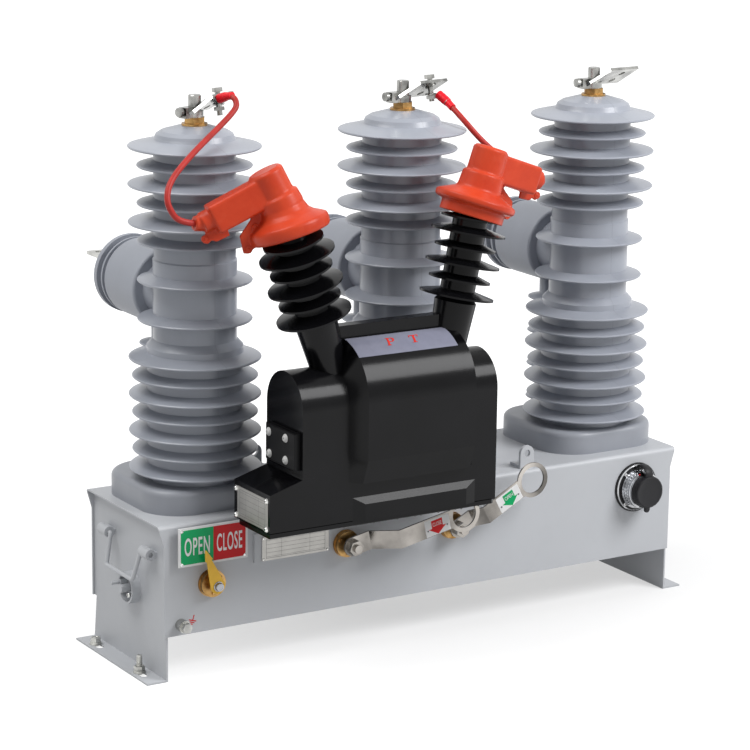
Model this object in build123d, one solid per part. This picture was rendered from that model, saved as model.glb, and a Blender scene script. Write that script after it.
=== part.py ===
from build123d import *
import math
import os

os.makedirs("parts", exist_ok=True)

# Outdoor vacuum circuit breaker: a sheet-steel mechanism housing on two feet, three
# insulated poles, and a voltage transformer in front of the housing.
# Millimetres. Origin: centre of the four foot slots, on the floor. +X along the
# housing to the right, -Y to the front, +Z up.

# Housing
LENGTH = 876.0
DEPTH = 228.0
TOP = 227.0
SKIRT = 65.5
SHEET = 2.5
BEND = 6.0
FLARE = 8.0
FLARE_TALL = 30.0
END_INSET = 3.0
FIT = 0.3
FOOT_OUT = 30.0
LEG_TAPER = 8.0
SLOT_OUT = 17.0
SLOT_SPACING_Y = 140.0
SLOT_WIDE = 11.0
SLOT_LONG = 28.0
LEFT = -LENGTH / 2
RIGHT = LENGTH / 2
END_FACE = RIGHT - END_INSET
FRONT = -DEPTH / 2

# Poles: the axis of each, and its plinth
POLE_PITCH = 340.0
POLE_X = 8.7
POLE_Y = -5.5
POLES = [POLE_X - POLE_PITCH, POLE_X, POLE_X + POLE_PITCH]
PLINTH_SIDE = 196.0
PLINTH_CORNER = 60.0
PLINTH_TALL = 35.0
PLINTH_BACK = 19.0
PLINTH_EDGE = 9.0
PLINTH_TOP = TOP + PLINTH_TALL

# Insulator: a core with sheds in three groups
CORE_LOW = 68.5
CORE_MID = 59.3
CORE_HIGH = 57.7
RIM = 3.4
RIM_ROUND = 1.2
LOW_SHED_BIG = 93.9
LOW_SHED_SMALL = 89.3
SHED_BIG = 93.6
SHED_SMALL = 81.1
FIRST_SHED = 14.1
LOW_PITCH = 26.55
LOW_SHEDS = 7
MID_PITCH = 55.4
HIGH_PITCH = 26.6
HIGH_SHEDS = 5
CAP_ROUND = 9.0
CAP_DOME = 29.0

# Small bushing behind each pole, for the current transformer's wires
TUBE_BACK = 99.0
TUBE_R = 16.5
TUBE_SHED = 34.0

# Current transformer drum
DRUM_R = 57.0
DRUM_RISE = 257.5
DRUM_FRONT = 79.5
DRUM_BACK = 171.0
DRUM_NECK = 42.0
GROOVE = 10.0
GROOVE_DEEP = 6.0
RIDGE = 4.0
BACK_DISC = 9.0

# Terminals
NUT_FLATS = 27.0
NUT_TALL = 8.5
NUT_FLANGE_R = 18.2
NUT_FLANGE = 3.0
STUD_R = 9.0
STUD_LONG = 31.0
COLLAR_R = 12.5
COLLAR_TALL = 9.0
PAD_THICK = 4.5
PAD_LONG = 65.8
PAD_WIDE = 47.0
PAD_RISE = 30.0
PAD_TURN = 16.1
PAD_ROLL = -32.7
PAD_DIP = 2.3
PAD_HOLE_R = 5.5
PAD_HOLE_X = 39.0
PAD_HOLE_Y = 13.2
PAD_HOLE_GAP = 21.9
TERMINAL_TURN = [20.0, 6.0, 0.0]
REAR_LONG = 92.0
REAR_WIDE = 50.0
REAR_THICK = 5.0

# Voltage transformer: cast body with two bushings, on a shelf in front of the housing
SHELF_WIDE = 132.0
SHELF_THICK = 6.0
PT_SHIFT = 32.3
PT_OUT = 71.5
PT_HALF = 159.0
PT_DEPTH = 100.0
PT_TOP = 446.0
BOX_LONG = 51.0
BOX_TALL = 70.0
BOX_FALL = 15.0
BULGE_SHIFT = 16.2
BULGE_HALF = 101.8
BULGE_OUT = 28.5
BULGE_FLANK = 14.0
BULGE_FOOT = 57.0
BULGE_WAIST = 92.0
BULGE_LIFT = 10.0
BULGE_TAPER = 13.0
BLOCK_HALF = 101.0
BLOCK_OUT = 5.4
BLOCK_FLANK = 17.6
BLOCK_TALL = 24.0
BLOCK_FALL = 9.7
RAIL_HALF = 82.0
RAIL_THICK = 18.0
RAIL_TALL = 56.0
COVER_THICK = 9.0
COVER_WIDE = 81.0
COVER_TALL = 52.0
BUSH_SHIFT = 2.5
BUSH_HALF = 116.5
BUSH_RISE = {-1: 74.2, 1: 79.2}
BUSH_TILT = {-1: 17.6, 1: 11.3}
BUSH_LOW = 92.0
BUSH_PITCH = 22.7
BUSH_BIG = 53.0
BUSH_SMALL = 44.0
BUSH_CORE = 25.0
NECK_TOP = 30.0
NECK_LOW = 25.0
HEAD_R = 20.0
HEAD_TALL = 26.0
PT_X = POLE_X - POLE_PITCH / 2 + PT_SHIFT
PT_Y = FRONT - PT_OUT
PT_FOOT = TOP + SHELF_THICK
PT_BACK = PT_Y + PT_DEPTH / 2
PT_FRONT = PT_Y - PT_DEPTH / 2
PT_LEFT = PT_X - PT_HALF
PT_RIGHT = PT_X + PT_HALF
ARCH_R = PT_DEPTH / 2
ARCH_Z = PT_TOP - ARCH_R
LIP = 4 * BUSH_PITCH + 23.0

# Silicone caps on the bushings: where each sits on its lip, how far it leans out and back, its arm
CAP_SHIFT = {-1: (7.2, 3.1), 1: (-1.0, -1.0)}
CAP_LEAN = {-1: 23.9, 1: 19.2}
CAP_LEAN_BACK = {-1: 12.8, 1: 0.0}
ARM_TURN = {-1: -19.0, 1: 9.4}
CAP_R = 58.0
CAP_SKIRT_R = 46.0
CAP_SKIRT = 15.6
CAP_RIM = 11.0
CAP_COLLAR_R = 31.5
CAP_COLLAR_Z = 37.0
CAP_HEAD_R = 25.4
CAP_HEAD_Z = 62.9
CAP_TALL = 100.9
ARM_REACH = 93.0
ARM_HALF = 19.0
ARM_LOW = 55.0
ARM_HIGH = 96.0
NOZZLE_Z = 77.5
RING_R = 15.0
RING_LONG = 14.0
TIP_R = 10.5
TIP_LONG = 12.0
TIP_LIFT = {-1: -30.0, 1: 0.0}
TIP_TURN = {-1: 15.0, 1: 50.0}
SEAM = 4.0
LEAD_R = 4.2
SOCKET_DEEP = 10.0
NOZZLE_REACH = ARM_REACH + RING_LONG


def export(shape, node):
    export_step(shape, "parts/" + node + ".step")


def block(x0, x1, y0, y1, z0, z1):
    size = Box(x1 - x0, y1 - y0, z1 - z0)
    return Pos((x0 + x1) / 2, (y0 + y1) / 2, (z0 + z1) / 2) * size


def rod_z(x, y, r, z0, z1):
    return Pos(x, y, (z0 + z1) / 2) * Cylinder(r, z1 - z0)


def rod_y(x, z, r, y0, y1):
    return Pos(x, (y0 + y1) / 2, z) * Rot(90, 0, 0) * Cylinder(r, y1 - y0)


def rod_x(y, z, r, x0, x1):
    return Pos((x0 + x1) / 2, y, z) * Rot(0, 90, 0) * Cylinder(r, x1 - x0)


def hexagon_z(x, y, flats, z0, z1):
    face = Pos(x, y, z0) * RegularPolygon(flats / 2, 6, major_radius=False)
    return extrude(face, z1 - z0)


def hexagon_y(x, z, flats, y0, y1):
    plane = Plane((x, y1, z), (1, 0, 0), (0, -1, 0))
    return extrude(plane * RegularPolygon(flats / 2, 6, major_radius=False), y1 - y0)


def outline(points):
    return make_face(Polyline(*points, close=True))


def prism_xz(points, y0, y1):
    return extrude(Plane((0, y1, 0), (1, 0, 0), (0, -1, 0)) * outline(points), y1 - y0)


def prism_yz(points, x0, x1):
    return extrude(Plane((x0, 0, 0), (0, 1, 0), (1, 0, 0)) * outline(points), x1 - x0)


def prism_xy(points, z0, z1):
    return extrude(Plane((0, 0, z0), (1, 0, 0), (0, 0, 1)) * outline(points), z1 - z0)


def turned(points):
    return revolve(Plane.XZ * outline(points), Axis.Z, 360)


# Housing sheet: front, top and back in one bent sheet, its ends flared at the top
def housing_sheet():
    wide = RIGHT + FLARE
    outer = block(-wide, wide, FRONT, -FRONT, SKIRT, TOP)
    outer = fillet(outer.edges().filter_by(Axis.X).group_by(Axis.Z)[-1], BEND)
    inner = block(-wide - 1, wide + 1, FRONT + SHEET, -FRONT - SHEET, SKIRT - 1, TOP - SHEET)
    inner = fillet(inner.edges().filter_by(Axis.X).group_by(Axis.Z)[-1], BEND - SHEET)
    sheet = outer - inner
    for side in (-1, 1):
        cut = prism_xz(
            [(side * RIGHT, SKIRT - 1), (side * RIGHT, TOP - FLARE_TALL),
             (side * wide, TOP - 2), (side * (wide + 6), TOP - 2), (side * (wide + 6), SKIRT - 1)],
            FRONT - 1, -FRONT + 1)
        sheet = sheet - cut
    return sheet


def end_plate(side):
    inside = -FRONT - SHEET - FIT
    low = TOP - SHEET - FIT
    shoulder = SKIRT - FIT
    web = prism_yz(
        [(FRONT, 0), (FRONT, shoulder), (-inside, shoulder), (-inside, low - 4),
         (-inside + 4, low), (inside - 4, low), (inside, low - 4), (inside, shoulder),
         (-FRONT - LEG_TAPER, shoulder), (-FRONT, 0)],
        END_FACE - SHEET, END_FACE)
    plate = web + block(END_FACE - SHEET, END_FACE + FOOT_OUT, FRONT, -FRONT, 0, SHEET)
    for y in (-SLOT_SPACING_Y / 2, SLOT_SPACING_Y / 2):
        slot = Pos(END_FACE + SLOT_OUT, y, -1) * Rot(0, 0, 90) * SlotOverall(SLOT_LONG, SLOT_WIDE)
        plate = plate - extrude(slot, SHEET + 2)
    if side < 0:
        plate = mirror(plate, Plane.YZ)
    return plate


def bottom_plate():
    inside = -FRONT - SHEET - FIT
    reach = END_FACE - SHEET - FIT
    return block(-reach, reach, -inside, inside, SKIRT, SKIRT + SHEET)


export(housing_sheet(), "housing_sheet")
export(end_plate(-1), "end_plate_left")
export(end_plate(1), "end_plate_right")
export(bottom_plate(), "bottom_plate")


# Poles: everything below is drawn on the axis of one pole and copied to the three
def shed_heights():
    low = [PLINTH_TOP + FIRST_SHED + i * LOW_PITCH for i in range(LOW_SHEDS)]
    mid = [low[-1] + MID_PITCH, low[-1] + 2 * MID_PITCH]
    high = [mid[-1] + MID_PITCH + i * HIGH_PITCH for i in range(HIGH_SHEDS)]
    return low, mid, high


LOW, MID, HIGH = shed_heights()
CAP_RIM_Z = HIGH[-1] + HIGH_PITCH
DOME_TOP = CAP_RIM_Z + CAP_DOME
DRUM_Z = PLINTH_TOP + DRUM_RISE
NUT_TOP = DOME_TOP + NUT_FLANGE + NUT_TALL
STUD_TOP = NUT_TOP + STUD_LONG
DRUM_END = DRUM_BACK + 2 * GROOVE + RIDGE + BACK_DISC


def plinth():
    face = Pos(0, PLINTH_BACK, TOP) * RectangleRounded(PLINTH_SIDE, PLINTH_SIDE, PLINTH_CORNER)
    body = extrude(face, PLINTH_TALL)
    return fillet(body.edges().group_by(Axis.Z)[-1], PLINTH_EDGE)


def shed_outline(z, rim, core, rise):
    low = z - RIM / 2
    high = z + RIM / 2
    return [(core, z - 5.0), (rim - RIM_ROUND, low), (rim, low + RIM_ROUND),
            (rim, high - RIM_ROUND), (rim - RIM_ROUND, high), (core, z + rise)]


def column():
    profile = [(0, PLINTH_TOP), (CORE_LOW, PLINTH_TOP)]
    for i, z in enumerate(LOW):
        profile += shed_outline(z, LOW_SHED_SMALL if i % 2 else LOW_SHED_BIG, CORE_LOW, 8.5)
    profile += [(CORE_LOW, LOW[-1] + 17), (CORE_MID, LOW[-1] + 27)]
    for z in MID:
        profile += shed_outline(z, SHED_SMALL, CORE_MID, 8.5)
    profile += [(CORE_MID, MID[-1] + 29), (CORE_HIGH, MID[-1] + 31)]
    for i, z in enumerate(HIGH):
        profile += shed_outline(z, SHED_BIG if i % 2 else SHED_SMALL, CORE_HIGH, 8.5)
    profile += shed_outline(CAP_RIM_Z, SHED_BIG, CORE_HIGH, 10.0)
    profile += [(CORE_HIGH - 1.7, CAP_RIM_Z + 13), (CORE_HIGH - 3.7, CAP_RIM_Z + 17.5),
                (CORE_HIGH - 10.7, DOME_TOP - 7), (NUT_FLANGE_R + 4, DOME_TOP), (0, DOME_TOP)]
    return turned(profile)


def wire_tube(top):
    profile = [(0, PLINTH_TOP), (TUBE_R, PLINTH_TOP)]
    for z in LOW[::2]:
        profile += shed_outline(z, TUBE_SHED, TUBE_R, 5.0)
    profile += [(TUBE_R, top), (0, top)]
    return Pos(0, TUBE_BACK, 0) * turned(profile)


def drum_blank():
    body = rod_y(0, DRUM_Z, DRUM_R, DRUM_FRONT, DRUM_BACK)
    body = fillet(body.edges().group_by(Axis.Y)[0], 4)
    body = body + rod_y(0, DRUM_Z, DRUM_NECK, 0, DRUM_FRONT)
    body = body + rod_y(0, DRUM_Z, DRUM_R - GROOVE_DEEP, DRUM_BACK, DRUM_END)
    ridge = DRUM_BACK + GROOVE
    body = body + rod_y(0, DRUM_Z, DRUM_R - 1, ridge, ridge + RIDGE)
    return body + rod_y(0, DRUM_Z, DRUM_R + 1, DRUM_END - BACK_DISC, DRUM_END)


def insulator():
    return column() + (wire_tube(DRUM_Z) - drum_blank())


def brass_nut():
    nut = rod_z(0, 0, NUT_FLANGE_R, DOME_TOP, DOME_TOP + NUT_FLANGE)
    return nut + hexagon_z(0, 0, NUT_FLATS, DOME_TOP + NUT_FLANGE, NUT_TOP)


# The pad is a bent strap: a sloping arm from the collar, then a rolled flat with two holes
PAD_CORNER = (19.8, -14.4, NUT_TOP + PAD_RISE)
ARM_END = (-17.3, -12.0, NUT_TOP + PAD_RISE - 18.4)
ARM_END_WIDE = 24.0


def pad_place():
    return Pos(*PAD_CORNER) * Rot(0, 0, PAD_TURN) * Rot(PAD_ROLL, 0, 0) * Rot(0, PAD_DIP, 0)


def top_terminal():
    post = rod_z(0, 0, STUD_R, NUT_TOP, STUD_TOP)
    post = chamfer(post.edges().group_by(Axis.Z)[-1], 1.2)
    collar = rod_z(0, 0, COLLAR_R, NUT_TOP, NUT_TOP + COLLAR_TALL)
    ears = block(-25, 0, -7, 7, NUT_TOP, NUT_TOP + COLLAR_TALL + 6)
    bolt = rod_x(0, NUT_TOP + 9, 3.5, -28, -24) + rod_x(0, NUT_TOP + 9, 6.5, -33, -28)
    pad = block(0, PAD_LONG, 0, PAD_WIDE, -PAD_THICK, 0)
    for y in (PAD_HOLE_Y, PAD_HOLE_Y + PAD_HOLE_GAP):
        pad = pad - rod_z(PAD_HOLE_X, y, PAD_HOLE_R, -PAD_THICK - 2, 2)
    across = (pad_place() * Pos(0, 1, 0)).position - pad_place().position
    corner = Vector(*PAD_CORNER)
    end = Vector(*ARM_END)
    path = [corner, corner + across * PAD_WIDE, end + across * ARM_END_WIDE, end]
    down = across.cross(corner - end).normalized()
    arm = extrude(make_face(Polyline(*path, close=True)), PAD_THICK, dir=down)
    arm = arm - block(-60, 30, -30, 60, NUT_TOP - 40, NUT_TOP)
    return post + collar + ears + bolt + pad_place() * pad + arm


def rear_terminal():
    flat = DRUM_Z + 18.0
    stud = rod_y(0, DRUM_Z, 13, DRUM_END, DRUM_END + 8)
    post = block(-13, 13, DRUM_END + 3, DRUM_END + 28, DRUM_Z - 13, flat)
    half = REAR_WIDE / 2
    pad = block(-half, half, DRUM_END + 3, DRUM_END + REAR_LONG, flat - REAR_THICK, flat)
    for x in (-12, 12):
        pad = pad - rod_z(x, DRUM_END + REAR_LONG - 15, PAD_HOLE_R, flat - 8, flat + 2)
    return stud + post + pad


PLINTH = plinth()
COLUMN = insulator()
DRUM = drum_blank() - column()
NUT = brass_nut()
TERMINAL = top_terminal()
REAR = rear_terminal()
for number, pole_x in enumerate(POLES, 1):
    place = Pos(pole_x, POLE_Y, 0)
    name = "pole_" + str(number) + "_"
    export(place * PLINTH, name + "plinth")
    export(place * COLUMN, name + "insulator")
    export(place * DRUM, name + "current_transformer")
    export(place * NUT, name + "nut")
    export(place * Rot(0, 0, TERMINAL_TURN[number - 1]) * TERMINAL, name + "top_terminal")
    export(place * REAR, name + "rear_terminal")


# Switch sign, pointer and their bearing
SIGN_IN = 16.5
SIGN_WIDE = 109.0
SIGN_TALL = 56.0
SIGN_DROP = 3.0
SIGN_OUT = 12.0
SIGN_THICK = 2.0
SIGN_LEFT = LEFT + SIGN_IN
SIGN_TOP = TOP - SIGN_DROP
POINTER = (LEFT + 73.0, TOP - 91.0)
POINTER_TILT = -19.4
POINTER_GAP = 20.5
POINTER_THICK = 2.5
SHAFT_R = 5.0
DISC_R = 19.0
DISC_RIM = 20.0
SHAFT_PLAY = 0.05


def switch_sign():
    back = block(SIGN_LEFT + 5, SIGN_LEFT + SIGN_WIDE - 5, FRONT - SIGN_OUT + SIGN_THICK, FRONT,
                 SIGN_TOP - SIGN_TALL + 6, SIGN_TOP - 29)
    plate = block(SIGN_LEFT, SIGN_LEFT + SIGN_WIDE, FRONT - SIGN_OUT,
                  FRONT - SIGN_OUT + SIGN_THICK, SIGN_TOP - SIGN_TALL, SIGN_TOP)
    return back + plate


def bearing(x, z, out, shaft):
    body = rod_y(x, z, DISC_RIM, FRONT - 3, FRONT) + rod_y(x, z, DISC_R, FRONT - out, FRONT - 3)
    for i in range(3):
        angle = math.radians(30 + 120 * i)
        screw_x = x + 13.5 * math.cos(angle)
        screw_z = z + 13.5 * math.sin(angle)
        body = body + rod_y(screw_x, screw_z, 3, FRONT - out - 2, FRONT - out)
    return body - rod_y(x, z, shaft + SHAFT_PLAY, FRONT - out - 9, FRONT - 3)


def pointer():
    x, z = POINTER
    face = FRONT - POINTER_GAP
    plate = rod_y(x, z, 11, face - POINTER_THICK, face)
    blade = prism_xz([(x - 7, z), (x - 7, z + 36), (x, z + 59), (x + 7, z + 36), (x + 7, z)],
                     face - POINTER_THICK, face)
    shaft = rod_y(x, z, SHAFT_R, face, FRONT - 3 - FIT)
    nut = hexagon_y(x, z, 13, face - POINTER_THICK - 6, face - POINTER_THICK)
    turn = Pos(x, 0, z) * Rot(0, POINTER_TILT, 0) * Pos(-x, 0, -z)
    return turn * (plate + blade + shaft + nut)


export(switch_sign(), "switch_sign")
export(bearing(POINTER[0], POINTER[1], 10, SHAFT_R), "pointer_bearing")
export(pointer(), "pointer")


# Two pull levers with rings
LEVER_A = (LEFT + 292.0, TOP - 66.0)
RING_A = (LEFT + 457.7, TOP - 32.0)
LEVER_B = (LEFT + 473.0, TOP - 65.0)
RING_B = (LEFT + 589.4, TOP - 2.7)
RING_OUT = 26.5
RING_IN = 20.0
STRIP = 3.0
STRIP_WIDE = 28.0
STRIP_GAP = 20.0
LEVER_SHAFT = 7.0


def lever(pivot, ring, outer, joggle_at, joggle_long):
    run = math.hypot(ring[0] - pivot[0], ring[1] - pivot[1])
    tilt = math.degrees(math.atan2(ring[1] - pivot[1], ring[0] - pivot[0]))
    half = STRIP_WIDE / 2
    a = FRONT - STRIP_GAP
    b = FRONT - outer
    s = STRIP
    end = run - RING_IN - 3
    path = [(0, a), (joggle_at, a), (joggle_at + joggle_long, b), (end, b),
            (end, b - s), (joggle_at + joggle_long - 1, b - s), (joggle_at - 1, a - s), (0, a - s)]
    strip = prism_xy(path, -half, half) + rod_y(0, 0, half, a - s, a)
    loop = rod_y(run, 0, RING_OUT, b - s, b) - rod_y(run, 0, RING_IN, b - s - 1, b + 1)
    shaft = rod_y(0, 0, LEVER_SHAFT, a, FRONT - 3 - FIT)
    end_stud = rod_y(0, 0, LEVER_SHAFT - 1, a - s - 16, a - s)
    nut = hexagon_y(0, 0, 20, a - s - 11, a - s)
    return Pos(pivot[0], 0, pivot[1]) * Rot(0, -tilt, 0) * (strip + loop + shaft + end_stud + nut)


export(bearing(LEVER_A[0], LEVER_A[1], 9, LEVER_SHAFT), "lever_bearing_left")
export(bearing(LEVER_B[0], LEVER_B[1], 9, LEVER_SHAFT), "lever_bearing_right")
export(lever(LEVER_A, RING_A, 56, 30, 30), "lever_close")
export(lever(LEVER_B, RING_B, 38, 26, 16), "lever_open")


# Name plate, earth bolt, socket and lifting lugs
PLATE_LEFT = LEFT + 141.0
PLATE_WIDE = 126.0
PLATE_TALL = 42.0
PLATE_TOP = TOP - 31.0
EARTH = (LEFT + 25.5, SKIRT + 16.0)
SOCKET = (RIGHT - 66.0, TOP - 53.5)
SOCKET_R = 36.5
SOCKET_BODY_R = 27.0
SOCKET_OUT = 26.0
CAP_R_SOCKET = 26.0
CAP_OUT = 48.0
LUG_X = POLE_PITCH / 2 + 6.0
LUG_WIDE = 24.0
LUG_THICK = 5.0
LUG_HOLE_R = 5.5
LUG_HOLE_Z = 22.5


def name_plate():
    x0 = PLATE_LEFT
    back = block(x0, x0 + PLATE_WIDE, FRONT - 4, FRONT, PLATE_TOP - PLATE_TALL, PLATE_TOP)
    face = block(x0 + 14, x0 + PLATE_WIDE - 7, FRONT - 5, FRONT - 4,
                 PLATE_TOP - PLATE_TALL + 4, PLATE_TOP - 6)
    return back + face


def earth_bolt():
    x, z = EARTH
    boss = rod_y(x, z, 8.5, FRONT - 6, FRONT)
    washer = rod_y(x, z, 9, FRONT - 14, FRONT - 6)
    return boss + washer + hexagon_y(x, z, 13, FRONT - 22, FRONT - 14)


def control_socket():
    x, z = SOCKET
    flange = rod_y(x, z, SOCKET_R, FRONT - 5, FRONT)
    flange = chamfer(flange.edges().group_by(Axis.Y)[0], 1.5)
    step = rod_y(x, z, SOCKET_R - 5, FRONT - 9, FRONT - 5)
    return flange + step + rod_y(x, z, SOCKET_BODY_R, FRONT - SOCKET_OUT, FRONT - 9)


def socket_cap():
    x, z = SOCKET
    cap = rod_y(x, z, CAP_R_SOCKET, FRONT - CAP_OUT, FRONT - SOCKET_OUT)
    cap = fillet(cap.edges().group_by(Axis.Y)[0], 4)
    tab = rod_y(x, z - CAP_R_SOCKET - 2, 5, FRONT - CAP_OUT + 6, FRONT - CAP_OUT + 11)
    strap = prism_yz(
        [(FRONT - CAP_OUT + 5, z + CAP_R_SOCKET - 4), (FRONT - CAP_OUT + 5, z + CAP_R_SOCKET + 3),
         (FRONT - 30, z + CAP_R_SOCKET + 13), (FRONT - 9 - FIT, z + CAP_R_SOCKET + 14),
         (FRONT - 9 - FIT, z + CAP_R_SOCKET + 2), (FRONT - 13, z + CAP_R_SOCKET + 2),
         (FRONT - 13, z + CAP_R_SOCKET + 10), (FRONT - 29, z + CAP_R_SOCKET + 9),
         (FRONT - CAP_OUT + 10, z + CAP_R_SOCKET - 1), (FRONT - CAP_OUT + 10, z + CAP_R_SOCKET - 4)],
        x - 7, x + 7)
    return cap + tab + strap


def lifting_lug():
    y = -FRONT - 10.0
    half = LUG_WIDE / 2
    foot = block(-half, half, y - 27, y, TOP, TOP + LUG_THICK)
    ear = block(-half, half, y - LUG_THICK, y, TOP, TOP + LUG_HOLE_Z)
    ear = ear + rod_y(0, TOP + LUG_HOLE_Z, half, y - LUG_THICK, y)
    return foot + ear - rod_y(0, TOP + LUG_HOLE_Z, LUG_HOLE_R, y - 20, y + 5)


def lifting_lugs():
    lug = lifting_lug()
    return Pos(-LUG_X, 0, 0) * lug + Pos(LUG_X, 0, 0) * Rot(0, 0, 180) * lug


export(name_plate(), "name_plate")
export(earth_bolt(), "earth_bolt")
export(control_socket(), "control_socket")
export(socket_cap(), "socket_cap")
export(lifting_lugs(), "lifting_lugs")


# Bail on the left end
BAIL_R = 3.2
BAIL_PLAY = 0.3
BAIL_X = -END_FACE - 10.0
BAIL_Z = TOP - 47.0
BAIL_Y = -10.4
BAIL_TOP = 49.0
BAIL_LOW = 41.0
BAIL_DROP = 44.0
BAIL_LEAN = 10.5
BAIL_BEND = 4.0
EYE_R = 8.0
EYE_LONG = 25.0
BOSS = (-15.0, TOP - 114.0)
BOSS_R = 23.0


def bail_mount():
    mount = rod_x(BOSS[0], BOSS[1], BOSS_R, -END_FACE - 14, -END_FACE)
    mount = mount - rod_x(BOSS[0], BOSS[1], BOSS_R - 3, -END_FACE - 15, -END_FACE - 4)
    mount = mount + rod_x(BOSS[0], BOSS[1], 6, -END_FACE - 22, -END_FACE - 4)
    for side in (-1, 1):
        near = BAIL_Y + side * (BAIL_TOP + 3)
        far = near + side * EYE_LONG
        y0 = min(near, far)
        y1 = max(near, far)
        eye = rod_y(BAIL_X, BAIL_Z, EYE_R, y0, y1)
        eye = eye + block(BAIL_X, -END_FACE, y0, y1, BAIL_Z - 3, BAIL_Z + 3)
        mount = mount + (eye - rod_y(BAIL_X, BAIL_Z, BAIL_R + BAIL_PLAY, y0 - 1, y1 + 1))
    return mount


def bail():
    out = BAIL_X - BAIL_LEAN
    low = BAIL_Z - BAIL_DROP
    top = BAIL_TOP - 1
    reach = BAIL_TOP + EYE_LONG
    points = [(BAIL_X, BAIL_Y + reach, BAIL_Z), (BAIL_X, BAIL_Y + top, BAIL_Z),
              (out, BAIL_Y + BAIL_LOW, low), (out, BAIL_Y - BAIL_LOW, low),
              (BAIL_X, BAIL_Y - top, BAIL_Z), (BAIL_X, BAIL_Y - reach, BAIL_Z)]
    path = FilletPolyline(*points, radius=BAIL_BEND)
    section = Plane(points[0], z_dir=(0, -1, 0)) * Circle(BAIL_R)
    return sweep(section, path)


export(bail_mount(), "bail_mount")
export(bail(), "bail")


# Voltage transformer
def arch_face(x, half, low, waist, foot_in, centre_z):
    front = PT_Y - half
    back = PT_Y + half
    edges = [
        Line((x, front + foot_in, low), (x, front, waist)),
        Line((x, front, waist), (x, front, centre_z)),
        ThreePointArc((x, front, centre_z), (x, PT_Y, centre_z + half), (x, back, centre_z)),
        Line((x, back, centre_z), (x, back, waist)),
        Line((x, back, waist), (x, back - foot_in, low)),
        Line((x, back - foot_in, low), (x, front + foot_in, low)),
    ]
    return make_face(edges)


def slab():
    body = block(PT_LEFT, PT_RIGHT, PT_FRONT, PT_BACK, PT_FOOT, ARCH_Z)
    body = body + rod_x(PT_Y, ARCH_Z, ARCH_R, PT_LEFT, PT_RIGHT)
    return body


def bulge():
    middle = PT_X + BULGE_SHIFT
    low = PT_FOOT + BULGE_FOOT
    waist = PT_FOOT + BULGE_WAIST
    sections = []
    flat = BULGE_HALF - BULGE_FLANK
    full = (BULGE_OUT, BULGE_LIFT, BULGE_TAPER)
    thin = (-0.5, 0.0, 0.0)
    for x, (out, lift, foot_in) in ((-BULGE_HALF, thin), (-flat, full), (flat, full), (BULGE_HALF, thin)):
        sections.append(arch_face(middle + x, ARCH_R + out, low, waist, foot_in, ARCH_Z + lift))
    return loft(sections, ruled=True)


def foot_block():
    middle = PT_X + BULGE_SHIFT + 6.4
    top = PT_FOOT + BLOCK_TALL + BLOCK_FALL
    face = PT_FRONT - BLOCK_OUT
    plan = prism_xy([(middle - BLOCK_HALF, PT_FRONT + 1), (middle - BLOCK_HALF, PT_FRONT),
                     (middle - BLOCK_HALF + BLOCK_FLANK, face), (middle + BLOCK_HALF - BLOCK_FLANK, face),
                     (middle + BLOCK_HALF, PT_FRONT), (middle + BLOCK_HALF, PT_FRONT + 1)],
                    PT_FOOT, top)
    side = prism_yz([(PT_FRONT + 1, PT_FOOT), (PT_FRONT + 1, top), (PT_FRONT, top),
                     (face, top - BLOCK_FALL), (face, PT_FOOT)],
                    middle - BLOCK_HALF - 1, middle + BLOCK_HALF + 1)
    return plan & side


def bushing_place(side):
    x = PT_X + BUSH_SHIFT + side * BUSH_HALF
    return Pos(x, PT_Y, PT_TOP + BUSH_RISE[side]) * Rot(0, side * BUSH_TILT[side], 0)


def bushing_profile(extra):
    profile = []
    for i in range(5):
        z = i * BUSH_PITCH
        rim = BUSH_SMALL if i % 2 else BUSH_BIG
        profile += [(BUSH_CORE, z - 3), (rim, z - 1.4), (rim, z + 1.4), (BUSH_CORE, z + 8)]
    top = LIP + HEAD_TALL + extra
    profile += [(BUSH_CORE, LIP - 7), (42.5 + extra, LIP - 5 - extra), (42.5 + extra, LIP - 2 + extra),
                (HEAD_R + extra, LIP + extra), (HEAD_R + extra, top), (0, top)]
    return profile


def bushing(side):
    profile = [(0, -BUSH_LOW), (NECK_LOW, -BUSH_LOW), (NECK_TOP, -9)] + bushing_profile(0)
    return bushing_place(side) * turned(profile)


def transformer_body():
    body = slab() + bulge() + foot_block()
    rail_z = ARCH_Z + BULGE_LIFT + 40
    middle = PT_X + BUSH_SHIFT
    half = RAIL_THICK / 2
    rail = block(middle - RAIL_HALF, middle + RAIL_HALF, PT_Y - half, PT_Y + half,
                 rail_z, rail_z + RAIL_TALL)
    box = prism_xz([(PT_LEFT - BOX_LONG, PT_FOOT), (PT_LEFT - BOX_LONG, PT_FOOT + BOX_TALL - BOX_FALL),
                    (PT_LEFT, PT_FOOT + BOX_TALL), (PT_LEFT + 1, PT_FOOT + BOX_TALL), (PT_LEFT + 1, PT_FOOT)],
                   PT_FRONT, PT_BACK)
    body = body + rail + box
    for side in (-1, 1):
        body = body + bushing(side)
    return body


def transformer_cover():
    y = PT_Y - 2.7
    low = PT_FOOT + BOX_TALL + 12
    half = COVER_WIDE / 2
    cover = block(PT_LEFT - COVER_THICK, PT_LEFT, y - half, y + half, low, low + COVER_TALL)
    return chamfer(cover.edges().group_by(Axis.X)[0], 1.5)


def shelf():
    x0 = POLE_X - POLE_PITCH / 2 - SHELF_WIDE / 2
    return block(x0, x0 + SHELF_WIDE, PT_FRONT + 6, POLE_Y - 24.5, TOP, PT_FOOT)


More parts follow.
